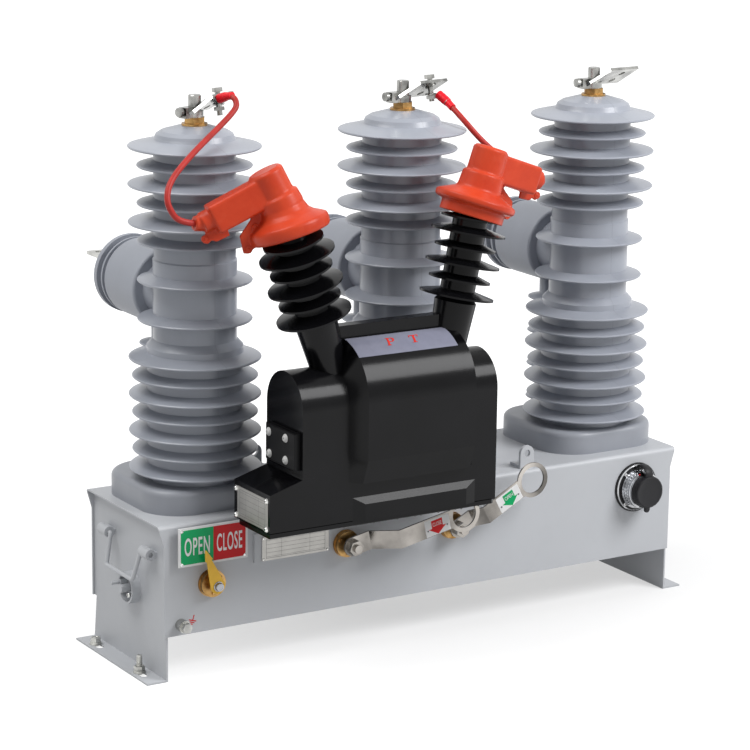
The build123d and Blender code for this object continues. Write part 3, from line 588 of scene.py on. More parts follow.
def dress(nodes, material):
    """Give carried-over CAD nodes their finish."""
    for name in nodes:
        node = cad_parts[name]
        if not node.material_slots:
            node.data.materials.append(material)
        for slot in node.material_slots:
            slot.material = material


def poles(part):
    return ["pole_%d_%s" % (number, part) for number in (1, 2, 3)]


# Camera at the photographed viewpoint
CAMERA_LENS = 134.146
CAMERA_SENSOR = 36.0
CAMERA_SHIFT = (0.000187, 0.0008)
CAMERA_FAR = 100.0
CAMERA_FRAME = Matrix(((0.852235, 0.111862, -0.511060, -2.13556),
                       (-0.522999, 0.206371, -0.826972, -3.40890),
                       (0.012961, 0.972059, 0.234381, 1.33659),
                       (0.0, 0.0, 0.0, 1.0)))

# Places on the object, in metres as the CAD has them
POLE_MIDDLE = 0.0087
POLE_PITCH = 0.34
FRONT_FACE = -0.114
FOOT_SLOTS = ((-0.452, -0.070), (-0.452, 0.070), (0.452, -0.070), (0.452, 0.070))
FOOT_TOP = 0.0025
BOLT_BACK = 0.0060
WASHER = 0.0020

# Switch sign: its middle, its size, the bare border, the cut corners and the words
SIGN = (-0.3670, -0.1260, 0.1960)
SIGN_SIZE = (0.109, 0.056)
SIGN_BORDER = (0.0035, 0.0032)
SIGN_NOTCH = 0.0048
SIGN_FILM = 0.00035
SIGN_WORD_LINE = 0.1963
SIGN_WORDS = (("sign_word_open", "OPEN", -0.3926, 0.0394), ("sign_word_close", "CLOSE", -0.3417, 0.0401))

# Bare plates on the housing and on the terminal box
NAME_FACE = (-0.2308, -0.1190, 0.1730)
NAME_FACE_SIZE = (0.110, 0.036)
BOX_END = -0.339
END_PLATE = (-0.1875, 0.2585)
END_PLATE_SIZE = (0.085, 0.045)
END_PLATE_SCREWS = ((-0.2272, 0.2785), (-0.2272, 0.2385), (-0.1420, 0.2765), (-0.1420, 0.2385))
PLATE_CORNER = 0.0015

# Voltage transformer: cover screws, round body, label as x and degrees from the top, seam and rim
COVER_FACE = -0.297
COVER_SCREWS = ((-0.1578, 0.3556), (-0.2040, 0.3565), (-0.1596, 0.3251), (-0.2044, 0.3255))
BULGE_AXIS = (-0.1855, 0.4060)
BULGE_RADIUS = 0.0785
LABEL_START = (-0.2010, 9.4)
LABEL_END = (-0.0400, 41.0)
BOX_SEAM_Y = -0.1872
BOX_SEAM_ENDS = ((BOX_END + 0.0010, 0.2880), (-0.2885, 0.3026))
BOX_SEAM_SECTION = ((-0.0004, 0.0), (0.0004, 0.0), (0.0002, 0.0006), (-0.0002, 0.0006))
RIM_BOX = (-0.3390, 0.0300, -0.2355, -0.1500, 0.2330)
RIM_LOW = 0.2262
RIM_CORNER = 0.006
RIM_EDGE = 0.001
DRIP_COUNT = 26
DRIP_START = -0.2290
DRIP_PITCH = 0.0097

# Letters on the label: left edge, then strokes as left, right, low and high, in shares of the size
LETTER_DEGREES = 11.6
LETTER_TOP = 18.6
LETTER_SHEAR = 0.26
LETTER_SIZE = 0.0165
LETTER_P = (-0.1440, ((0.12, 0.30, 0.05, 0.95), (0.00, 0.42, 0.00, 0.05), (0.00, 0.50, 0.95, 1.00),
                      (0.30, 0.52, 0.42, 0.49)))
LETTER_T = (-0.1062, ((0.36, 0.54, 0.05, 0.93), (0.22, 0.68, 0.00, 0.05), (0.00, 0.90, 0.93, 1.00),
                      (0.00, 0.06, 0.74, 0.93), (0.84, 0.90, 0.74, 0.93)))
BOWL_FOOT = 0.42
BOWL_STEPS = 12

# Control points of the two leads, from the lug on the pole to the cap's nozzle
LEAD_LEFT = [(-0.2898, -0.0200, 0.8024), (-0.2868, -0.0360, 0.8056), (-0.2858, -0.0460, 0.7936),
             (-0.2973, -0.0520, 0.7836), (-0.3238, -0.0650, 0.7689), (-0.3694, -0.0930, 0.7491),
             (-0.4057, -0.1140, 0.7304), (-0.4333, -0.1300, 0.7120), (-0.4445, -0.1395, 0.6950),
             (-0.4445, -0.1450, 0.6780), (-0.4270, -0.1434, 0.6558), (-0.3971, -0.1448, 0.6534)]
LEAD_RIGHT = [(0.0731, -0.0260, 0.7726), (0.0746, -0.0645, 0.7532), (0.0936, -0.0763, 0.7275),
              (0.1120, -0.0920, 0.7060), (0.1290, -0.1150, 0.6880), (0.1509, -0.1422, 0.6692),
              (0.1379, -0.1654, 0.6738)]
LEAD_LEFT_LONG = 0.313
LEAD_RIGHT_LONG = 0.2008

# Shrunk sleeves: where each starts on its lug, its reach on the lead, and its radius
SLEEVE_LEFT = (-0.2933, -0.0075, 0.7981)
SLEEVE_RIGHT = (0.0673, -0.0100, 0.7826)
SLEEVE_REACH = 0.014
SLEEVE_RINGS = 22
SLEEVE_TIGHT = 0.00545
SLEEVE_STEP = 0.00130
SLEEVE_WRINKLE = 0.00016


def cap_frame(base, back, lean, arm):
    """Frame of a silicone cap on its leaning bushing, X along the arm."""
    return (Matrix.Translation(Vector(base)) @ Matrix.Rotation(math.radians(-back), 4, "X")
            @ Matrix.Rotation(math.radians(lean), 4, "Y") @ Matrix.Rotation(math.radians(arm), 4, "Z"))


# Silicone caps, in each cap's own frame
CAP_LEFT = cap_frame((-0.27021, -0.1855, 0.63177), 12.8, -23.9, 161.0)
CAP_RIGHT = cap_frame((0.01130, -0.1855, 0.63579), 0.0, 19.2, 9.4)
CAP_ROOT = 0.0420
CAP_REACH = 0.0595
CAP_CORE = 0.0290
CAP_FLOOR = 0.0220
CAP_SETTLE = 10.0
CAP_FLANGE = ((0.0300, 0.0045), (0.0500, 0.0040), (0.0535, 0.0050), (0.0555, 0.0080), (0.0562, 0.0130),
              (0.0562, 0.0185), (0.0548, 0.0222), (0.0480, 0.0262), (0.0400, 0.0305), (0.0340, 0.0360),
              (0.0318, 0.0420), (0.0300, 0.0460))
CAP_VOXEL = 0.0013
CAP_RIVETS = ((0.1132, 0.0569), (0.0453, 0.0389), (0.0676, 0.0162))
RIVET_LIFT = 0.0020
RIVET_FORM = ((1.00, -0.0015), (1.00, 0.0006), (0.84, 0.0012), (0.66, 0.0007), (0.50, 0.0008),
              (0.30, 0.0017), (0.10, 0.0019))

# Pointer: its pivot, its turn at rest in degrees, the radius of its round end, and the rest of its outline
POINTER_PIVOT = (-0.365, -0.136, 0.136)
POINTER_TURN = 19.4
POINTER_ROUND = 0.0112
POINTER_BLADE = [(0.0036, 0.0430), (0.0056, 0.0425), (0.0010, 0.0575), (-0.0010, 0.0575), (-0.0056, 0.0425),
                 (-0.0036, 0.0430)]

# Levers: x and z of the pivot and the ring, y of the face, then the sticker's start, end and arrow
LEVER_CLOSE = ((-0.146, 0.161), (0.0197, 0.195), -0.173, 0.1010, 0.1430, 0.1215)
LEVER_OPEN = ((0.035, 0.162), (0.1514, 0.2243), -0.155, 0.0640, 0.1062, 0.0855)
STICKER_EDGES = (-0.0134, 0.0120)
ARROW = [(0.0, -0.0130), (0.0150, -0.0026), (0.0094, -0.0026), (0.0094, 0.0092),
         (-0.0094, 0.0092), (-0.0094, -0.0026), (-0.0150, -0.0026)]
ARROW_WORD = (0.0150, 0.0058, 0.0002)

# Cup under the bail
CUP_SCREWS = ((0.0000, 0.1045), (-0.0215, 0.1035))
CUP_SCREW_X = -0.4460
CUP_PIN = (-0.4400, -0.0020, 0.1185)

# Earth mark: its middle, and its bars as left, right, low and high
EARTH_MARK = (-0.3935, FRONT_FACE, 0.0850)
EARTH_TURN = -18.0
EARTH_BARS = ((-0.0007, 0.0007, 0.0000, 0.0075), (-0.0060, 0.0060, -0.0014, 0.0002),
              (-0.0040, 0.0040, -0.0040, -0.0026), (-0.0020, 0.0020, -0.0066, -0.0052))

# Control socket: x and z of its axis, its knurled ring as depth, radius and wave, and its cap
SOCKET = (0.372, 0.1735)
SOCKET_SCREWS = 0.0330
SOCKET_DOT = (0.0278, 112.0)
KNURL_RIDGES = 36
KNURL = ((0.0, 0.0272, 0.0), (0.0006, 0.0278, 0.0006), (0.0070, 0.0278, 0.0006), (0.0076, 0.0272, 0.0),
         (0.0082, 0.0272, 0.0), (0.0088, 0.0282, 0.0), (0.0125, 0.0282, 0.0), (0.0130, 0.0274, 0.0))
SOCKET_CAP = ((0.0254, 0.0), (0.0256, 0.0018), (0.0250, 0.0022), (0.0249, 0.0092), (0.0241, 0.0110),
              (0.0222, 0.0117), (0.0212, 0.0113), (0.0120, 0.0110))
SOCKET_TAB = [(0.0050, 0.0040), (0.0046, -0.0050), (0.0030, -0.0078), (0.0, -0.0088),
              (-0.0030, -0.0078), (-0.0046, -0.0050), (-0.0050, 0.0040)]
SOCKET_STRAP = [(-0.1470, 0.0215), (-0.1476, 0.0262), (-0.1468, 0.0303), (-0.1440, 0.0338),
                (-0.1396, 0.0364), (-0.1344, 0.0378), (-0.1296, 0.0380), (-0.1258, 0.0370),
                (-0.1238, 0.0348), (-0.1232, 0.0318), (-0.1232, 0.0290)]

# Stage: place, size, power and colour of each lamp, the even light, and the floor's glow round the object
LAMPS = (("key_lamp", (-1.6, 0.3, 2.9), 1.8, 42.0, (1.0, 0.995, 0.985)),
         ("band_lamp", (1.45, -2.10, 2.40), 1.7, 82.0, (0.99, 0.99, 1.0)))
LAMP_AIM = (0.0, 0.0, 0.35)
EVEN_LIGHT = 0.46
FLOOR_GREY = (0.45, 0.45, 0.45)
GLOW_MIDDLE = (0.25, 0.15, 0.0)
GLOW_REACH = 3.0
GLOW_STOPS = ((0.10, 0.53), (0.42, 1.0))


class BREAKER_OT_camera(bpy.types.Operator):
    """Place the camera at the photographed viewpoint"""

    bl_idname = "breaker.camera"
    bl_label = "Camera"

    def execute(self, context):
        data = bpy.data.cameras.new("camera")
        data.sensor_width = CAMERA_SENSOR
        data.lens = CAMERA_LENS
        data.shift_x = CAMERA_SHIFT[0]
        data.shift_y = CAMERA_SHIFT[1]
        data.clip_end = CAMERA_FAR
        camera = bpy.data.objects.new("camera", data)
        context.scene.collection.objects.link(camera)
        camera.matrix_world = CAMERA_FRAME
        context.scene.camera = camera
        return {"FINISHED"}


class BREAKER_OT_leads(bpy.types.Operator):
    """Make the two red leads and the sleeves on their lugs"""

    bl_idname = "breaker.leads"
    bl_label = "Leads"

    def execute(self, context):
        self.lead("lead_left", LEAD_LEFT, LEAD_LEFT_LONG, SLEEVE_LEFT)
        self.lead("lead_right", LEAD_RIGHT, LEAD_RIGHT_LONG, SLEEVE_RIGHT)
        return {"FINISHED"}

    def lead(self, node, points, long, start):
        thick = sizes().lead_diameter
        data = bpy.data.curves.new(node + "_cable", "CURVE")
        data.dimensions = "3D"
        data.bevel_depth = thick / 2
        data.bevel_resolution = 6
        data.resolution_u = 20
        data.use_fill_caps = True
        spline = data.splines.new("NURBS")
        spline.points.add(len(points) - 1)
        for point, place in zip(spline.points, points):
            point.co = (*place, 1.0)
        spline.order_u = 3
        spline.use_endpoint_u = True
        data.materials.append(rubber_finish(node + "_red", tuple(colours().lead), 0.36))
        cable = place_piece(node + "_cable", data)
        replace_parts(cable, node)
        sleeve = self.sleeve(node + "_sleeve", start, points)
        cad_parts[node + "_lug"]

    def sleeve(self, name, start, points):
        """Shrunk sleeve: wide over the lug's barrel, then tight and wrinkled on the lead."""
        first = Vector(start)
        second = Vector(points[0])
        barrel = (second - first).normalized()
        onward = (Vector(points[1]) - second).normalized()
        third = second + onward * SLEEVE_REACH
        rings = []
        for i in range(SLEEVE_RINGS):
            share = i / (SLEEVE_RINGS - 1)
            at = first.lerp(second, share * 2) if share < 0.5 else second.lerp(third, share * 2 - 1)
            step = 1 / (1 + math.exp((share - 0.52) * 30))
            wrinkle = math.sin(share * 41) * (1 - share * 0.5)
            radius = SLEEVE_TIGHT + SLEEVE_STEP * step + SLEEVE_WRINKLE * wrinkle
            bend = min(1.0, max(0.0, (share - 0.40) / 0.20))
            place = seat(at, barrel.lerp(onward, bend).normalized())
            rings.append([place @ Vector(point) for point in ring(radius, 0, SLEEVE_STEPS)])
        bm = bmesh.new()
        loft(bm, rings, HERE)
        red = rubber_finish(name + "_red", tuple(colours().sleeve), 0.30)
        return shape_piece(name, bm, red, crease=60.0)


class BREAKER_OT_finishes(bpy.types.Operator):
    """Give every carried-over CAD node its finish"""

    bl_idname = "breaker.finishes"
    bl_label = "Finishes"

    def execute(self, context):
        tint = colours()
        dress(["housing_sheet", "end_plate_left", "end_plate_right", "bottom_plate", "transformer_shelf",
               "lifting_lugs", "bail_mount", "bail", "name_plate"], housing_finish())
        dress(poles("plinth"), plinth_finish())
        dress(poles("insulator"), pole_finish("insulator_grey", tuple(tint.insulator), 0.26))
        dress(poles("current_transformer"), pole_finish("drum_grey", tuple(tint.drum), 0.42))
        dress(poles("nut") + ["pointer_bearing", "lever_bearing_left", "lever_bearing_right"], brass_finish())
        dress(poles("top_terminal"), steel_finish("tinned_steel"))
        dress(poles("rear_terminal"), steel_finish("tinned_bar"))
        dress(["lead_left_lug", "lead_right_lug"], steel_finish("lug_tin"))
        dress(["lever_close", "lever_open"], steel_finish("lever_steel"))
        dress(["earth_bolt"], steel_finish("bolt_steel"))
        dress(["control_socket"], steel_finish("chrome"))
        dress(["switch_sign"], paint_finish("sign_white", PRINT_WHITE, 0.28))
        dress(["voltage_transformer"], epoxy_finish("cast_epoxy", 0.145))
        dress(["transformer_cover"], epoxy_finish("cover_epoxy", 0.40))
        return {"FINISHED"}


class BREAKER_OT_sign(bpy.types.Operator):
    """Make the switch sign's fields, words and corner screws"""

    bl_idname = "breaker.sign"
    bl_label = "Switch sign"

    def execute(self, context):
        tint = colours()
        x, y, z = SIGN
        wide, tall = SIGN_SIZE
        side = wide / 2 - SIGN_BORDER[0]
        half = tall / 2 - SIGN_BORDER[1]
        cut = SIGN_NOTCH
        edge = [(0, -half), (side - cut, -half), (side - cut * 0.3, -half + cut * 0.3), (side, -half + cut)]
        edge += [(across, -up) for across, up in reversed(edge)]
        for name, base, sign in (("sign_field_open", tint.sign_open, -1),
                                 ("sign_field_close", tint.sign_close, 1)):
            bm = bmesh.new()
            board(bm, [(sign * across, up) for across, up in edge], SIGN_FILM, front(x, y, z))
            shape_piece(name, bm, paint_finish(name, tuple(base), 0.26, 0.075))
        white = paint_finish("letter_white", (0.82, 0.82, 0.82))
        for name, word, middle, reach in SIGN_WORDS:
            lettering(name, word, front(middle, y - 0.00030, SIGN_WORD_LINE),
                      (reach, sizes().letter, SIGN_FILM), white, bold=0.012, spread=1.14)
        bm = bmesh.new()
        for at_x, at_z, sx, sz in corners(x, z, wide - 0.0096, tall - 0.0080):
            screw(bm, sizes().sign_screw / 2, 0.0016, front(at_x, y, at_z, 0.5 * sx + sz))
        shape_piece("sign_screws", bm, steel_finish("screw_steel"))
        return {"FINISHED"}


class BREAKER_OT_plates(bpy.types.Operator):
    """Make the two bare metal plates with blank ruled rows"""

    bl_idname = "breaker.plates"
    bl_label = "Bare plates"

    def execute(self, context):
        steel = steel_finish("plate_screw_steel")
        x, y, z = NAME_FACE
        wide, tall = NAME_FACE_SIZE
        bm = bmesh.new()
        board(bm, rounded(wide - 0.0006, tall - 0.0006, PLATE_CORNER), 0.0004, front(x, y, z))
        shape_piece("name_plate_face", bm, plate_finish("bare_plate", "x", x, z, wide, tall))
        bm = bmesh.new()
        for at_x, at_z, turn, _ in corners(x, z, wide - 0.0056, tall - 0.0056):
            screw(bm, 0.0019, 0.0014, front(at_x, y - 0.0003, at_z, turn))
        shape_piece("name_plate_rivets", bm, steel)
        y, z = END_PLATE
        wide, tall = END_PLATE_SIZE
        bm = bmesh.new()
        board(bm, rounded(wide, tall, PLATE_CORNER), 0.0008, left_end(BOX_END, y, z))
        face = plate_finish("bare_plate_end", "y", y, z, wide, tall)
        shape_piece("transformer_plate", bm, face)
        bm = bmesh.new()
        for y, z in END_PLATE_SCREWS:
            disc(bm, 0.0042, 0.0012, left_end(BOX_END, y, z))
            screw(bm, 0.0036, 0.0036, left_end(BOX_END, y, z, z * 40))
        shape_piece("transformer_plate_screws", bm, steel)
        return {"FINISHED"}


class BREAKER_OT_transformer(bpy.types.Operator):
    """Make the voltage transformer's cover screws, label, letters, seam and rim"""

    bl_idname = "breaker.transformer"
    bl_label = "Voltage transformer"

    def execute(self, context):
        washer = sizes().cover_screw / 2
        bm = bmesh.new()
        for y, z in COVER_SCREWS:
            disc(bm, washer, 0.0010, left_end(COVER_FACE, y, z))
            screw(bm, washer * 0.84, 0.0036, left_end(COVER_FACE, y, z, y * 90))
        shape_piece("cover_screws", bm, paint_finish("screw_white", (0.74, 0.74, 0.73)))
        bm = bmesh.new()
        self.on_bulge(bm, LABEL_START, LABEL_END, 0.0006, 2, 24)
        label = paint_finish("label_blue_grey", (0.225, 0.232, 0.300), 0.16, 0.1)
        shape_piece("transformer_label", bm, label)
        self.letters()
        bm = bmesh.new()
        loft(bm, [[(x, BOX_SEAM_Y + across, z + up) for across, up in BOX_SEAM_SECTION]
                  for x, z in BOX_SEAM_ENDS], HERE)
        shape_piece("terminal_box_seam", bm, epoxy_finish("seam_epoxy", 0.2))
        self.foot_rim()
        return {"FINISHED"}

    def foot_rim(self):
        """Cast rim under the body, with the small drips that the mould leaves."""
        left, right, near, far, top = RIM_BOX
        outline = [(left, near), (right - RIM_CORNER, near), (right, near + RIM_CORNER), (right, far),
                   (left, far)]
        bm = bmesh.new()
        loft(bm, [[(x, y, top + RIM_EDGE) for x, y in outline],
                  [(x, y, RIM_LOW + RIM_EDGE) for x, y in outline],
                  [(x * 0.999, y + (RIM_EDGE if y == near else -RIM_EDGE), RIM_LOW) for x, y in outline]],
             HERE)
        for i in range(DRIP_COUNT):
            drop = 0.0006 + 0.0012 * abs(math.sin(i * 2.3)) * abs(math.cos(i * 0.9))
            tip = Matrix.Translation((DRIP_START + i * DRIP_PITCH, near + 0.0035, RIM_LOW + 0.0004))
            turned(bm, ((0.0022, 0), (0.0017, -drop * 0.6), (0.0006, -drop - 0.0004)), tip, 8)
        shape_piece("transformer_rim", bm, epoxy_finish("rim_epoxy", 0.145))

    def on_bulge(self, bm, start, end, lift, columns, rows, shear=0.0):
        """Thin curved slab on the round body, from (x, degrees from the top) to (x, degrees)."""
        first = math.radians(start[1])
        last = math.radians(end[1])
        slabs = []
        for height in (lift, -0.0003):
            reach = BULGE_RADIUS + height
            grid = []
            for j in range(rows + 1):
                angle = first + (last - first) * j / rows
                slide = shear * (angle - first) * BULGE_RADIUS
                y = BULGE_AXIS[0] - reach * math.sin(angle)
                z = BULGE_AXIS[1] + reach * math.cos(angle)
                grid.append([bm.verts.new((start[0] + (end[0] - start[0]) * i / columns - slide, y, z))
                             for i in range(columns + 1)])
            for j in range(rows):
                for i in range(columns):
                    bm.faces.new((grid[j][i], grid[j][i + 1], grid[j + 1][i + 1], grid[j + 1][i]))
            slabs.append(grid)
        top, low = slabs
        for j in range(rows):
            for i in (0, columns):
                bm.faces.new((top[j][i], top[j + 1][i], low[j + 1][i], low[j][i]))
        for i in range(columns):
            for j in (0, rows):
                bm.faces.new((top[j][i], top[j][i + 1], low[j][i + 1], low[j][i]))

    def bowl(self):
        """The round of the P, as short strokes one above the other."""
        strokes = []
        tall = 1.0 - BOWL_FOOT
        for i in range(BOWL_STEPS):
            low = BOWL_FOOT + tall * i / BOWL_STEPS
            mid = (low + tall / BOWL_STEPS / 2 - BOWL_FOOT - tall / 2) / (tall / 2)
            outer = 0.50 + 0.32 * math.sqrt(max(0.0, 1 - mid * mid))
            inner = 0.44 + 0.20 * math.sqrt(max(0.0, 1 - (mid * 1.12) ** 2))
            strokes.append((inner, outer, low, low + tall / BOWL_STEPS))
        return strokes

    def letters(self):
        """The letters P and T with serifs, as strokes that follow the round body."""
        bm = bmesh.new()
        for left, strokes in ((LETTER_P[0], [*LETTER_P[1], *self.bowl()]), LETTER_T):
            for x0, x1, low, high in strokes:
                lean = LETTER_SHEAR * math.radians((1 - high) * LETTER_DEGREES) * BULGE_RADIUS
                start = (left + x0 * LETTER_SIZE - lean, LETTER_TOP + (1 - high) * LETTER_DEGREES)
                end = (left + x1 * LETTER_SIZE - lean, LETTER_TOP + (1 - low) * LETTER_DEGREES)
                self.on_bulge(bm, start, end, 0.0011, 1, max(1, int((high - low) * 10)), LETTER_SHEAR)
        shape_piece("transformer_letters", bm, paint_finish("letter_red", (0.70, 0.035, 0.022)))


class BREAKER_OT_caps(bpy.types.Operator):
    """Make the two soft silicone caps and the moulded rivets on them"""

    bl_idname = "breaker.caps"
    bl_label = "Silicone caps"

    def execute(self, context):
        rivet = [(sizes().rivet / 2 * share, height) for share, height in RIVET_FORM]
        for name, place, settled in (("cap_left", CAP_LEFT, True), ("cap_right", CAP_RIGHT, False)):
            self.moulded(name, place, settled)
            bm = bmesh.new()
            for reach, height in CAP_RIVETS:
                for side in (-1, 1):
                    turned(bm, rivet, place @ seat((reach, side * RIVET_LIFT, height), (0, side, 0)))
            shape_piece(name + "_rivets", bm, silicone_finish(name + "_rivet", place))
        return {"FINISHED"}

    def moulded(self, name, place, settled):
        """Soft form of a cap; a settled one has a thick flange that lies on its bushing."""
        node = "bushing_" + name
        bm = bmesh.new()
        bm.from_mesh(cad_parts[node].data)
        if settled:
            self.settle(bm, place)
        blank = bpy.data.objects.new(name + "_blank", bpy.data.meshes.new(name + "_blank"))
        bm.to_mesh(blank.data)
        bm.free()
        bpy.context.scene.collection.objects.link(blank)
        skin = blank.modifiers.new("skin", "REMESH")
        skin.mode = "VOXEL"
        skin.voxel_size = CAP_VOXEL
        soften = blank.modifiers.new("soften", "SMOOTH")
        soften.factor = 0.5
        soften.iterations = 5
        mesh = bpy.data.meshes.new_from_object(blank.evaluated_get(bpy.context.evaluated_depsgraph_get()))
        bpy.data.objects.remove(blank)
        mesh.shade_smooth()
        mesh.materials.clear()
        mesh.materials.append(silicone_finish(name + "_silicone", place))
        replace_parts(place_piece(name, mesh), node)

    def settle(self, bm, place):
        """Draw the thin flange into the cap's core, and loft a thick tilted one over it."""
        flat = place.inverted()
        for vert in bm.verts:
            at = flat @ vert.co
            reach = math.hypot(at.x, at.y)
            if at.z < CAP_ROOT and reach < CAP_REACH:
                pull = min(1.0, CAP_CORE / max(reach, CAP_CORE))
                vert.co = place @ Vector((at.x * pull, at.y * pull, max(at.z, CAP_FLOOR)))
        pivot = Matrix.Translation(place @ Vector((0, 0, CAP_ROOT)))
        tilt = pivot @ Matrix.Rotation(math.radians(CAP_SETTLE), 4, "Y") @ pivot.inverted()
        turned(bm, CAP_FLANGE, tilt @ place, 96)


class BREAKER_OT_levers(bpy.types.Operator):
    """Make the pointer's blade and screw, and the stickers on the two levers"""

    bl_idname = "breaker.levers"
    bl_label = "Levers and pointer"

    def execute(self, context):
        tint = colours()
        self.pointer(tuple(tint.pointer))
        film = paint_finish("sticker_white", PRINT_WHITE, 0.34)
        letters = paint_finish("word_white", PRINT_WHITE)
        pins = steel_finish("pin_steel")
        self.sticker("open", LEVER_OPEN, tuple(tint.sign_open), film, letters, pins)
        self.sticker("close", LEVER_CLOSE, tuple(tint.arrow_close), film, letters, pins)
        return {"FINISHED"}

    def pointer(self, tint):
        """Pointed blade with a round end on its spindle, and the washer and screw that hold it."""
        x, y, z = POINTER_PIVOT
        place = front(x, y + 0.0015, z, math.radians(POINTER_TURN))
        angles = [math.radians(172 + 196 * i / 16) for i in range(17)]
        outline = [(POINTER_ROUND * math.cos(angle), POINTER_ROUND * math.sin(angle)) for angle in angles]
        bm = bmesh.new()
        board(bm, outline + POINTER_BLADE, 0.0025, place)
        turned(bm, ((0.0050, -0.0165), (0.0050, 0.0002)), place)
        yellow = paint_finish("pointer_yellow", tint, 0.32)
        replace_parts(shape_piece("pointer_blade", bm, yellow, body="pointer"), "pointer")
        bm = bmesh.new()
        hold = front(x, y - 0.0010, z)
        disc(bm, 0.0074, 0.0012, hold)
        turned(bm, ((0.0063, 0), (0.0063, 0.0048), (0.0056, 0.0064), (0.0036, 0.0064),
                    (hexagon(0.0062), 0.0064), (hexagon(0.0062), 0.0062)), hold)
        steel = steel_finish("pointer_screw_steel")
        shape_piece("pointer_screw", bm, steel, body="pointer")

    def sticker(self, name, lever, tint, film, letters, pins):
        """White sticker with a coloured arrow that points down and a word on it."""
        (px, pz), (rx, rz), face, start, end, middle = lever
        low, high = STICKER_EDGES
        body = "lever_" + name
        place = front(px, face, pz, math.atan2(rz - pz, rx - px))
        arrow = place @ Matrix.Translation((middle, 0, 0))
        bm = bmesh.new()
        board(bm, rounded(end - start, high - low, 0.001), 0.00018,
              place @ Matrix.Translation(((start + end) / 2, (low + high) / 2, 0)), low=-0.0001)
        shape_piece(name + "_sticker", bm, film, body=body)
        bm = bmesh.new()
        loft(bm, [[(x, y, z) for x, y in ARROW] for z in (0.0001, 0.00032)], arrow)
        paint = paint_finish(name + "_arrow_paint", tint, 0.32)
        shape_piece(name + "_arrow", bm, paint, body=body)
        lettering(name + "_arrow_word", name.upper(), arrow @ Matrix.Translation((0, 0.0028, 0.0003)),
                  ARROW_WORD, letters, body=body)
        bm = bmesh.new()
        for along in (start + 0.0040, end - 0.0048):
            disc(bm, 0.0012, 0.0006, place @ Matrix.Translation((along, -0.0040, 0.0001)))
        shape_piece(name + "_sticker_pins", bm, pins, body=body)


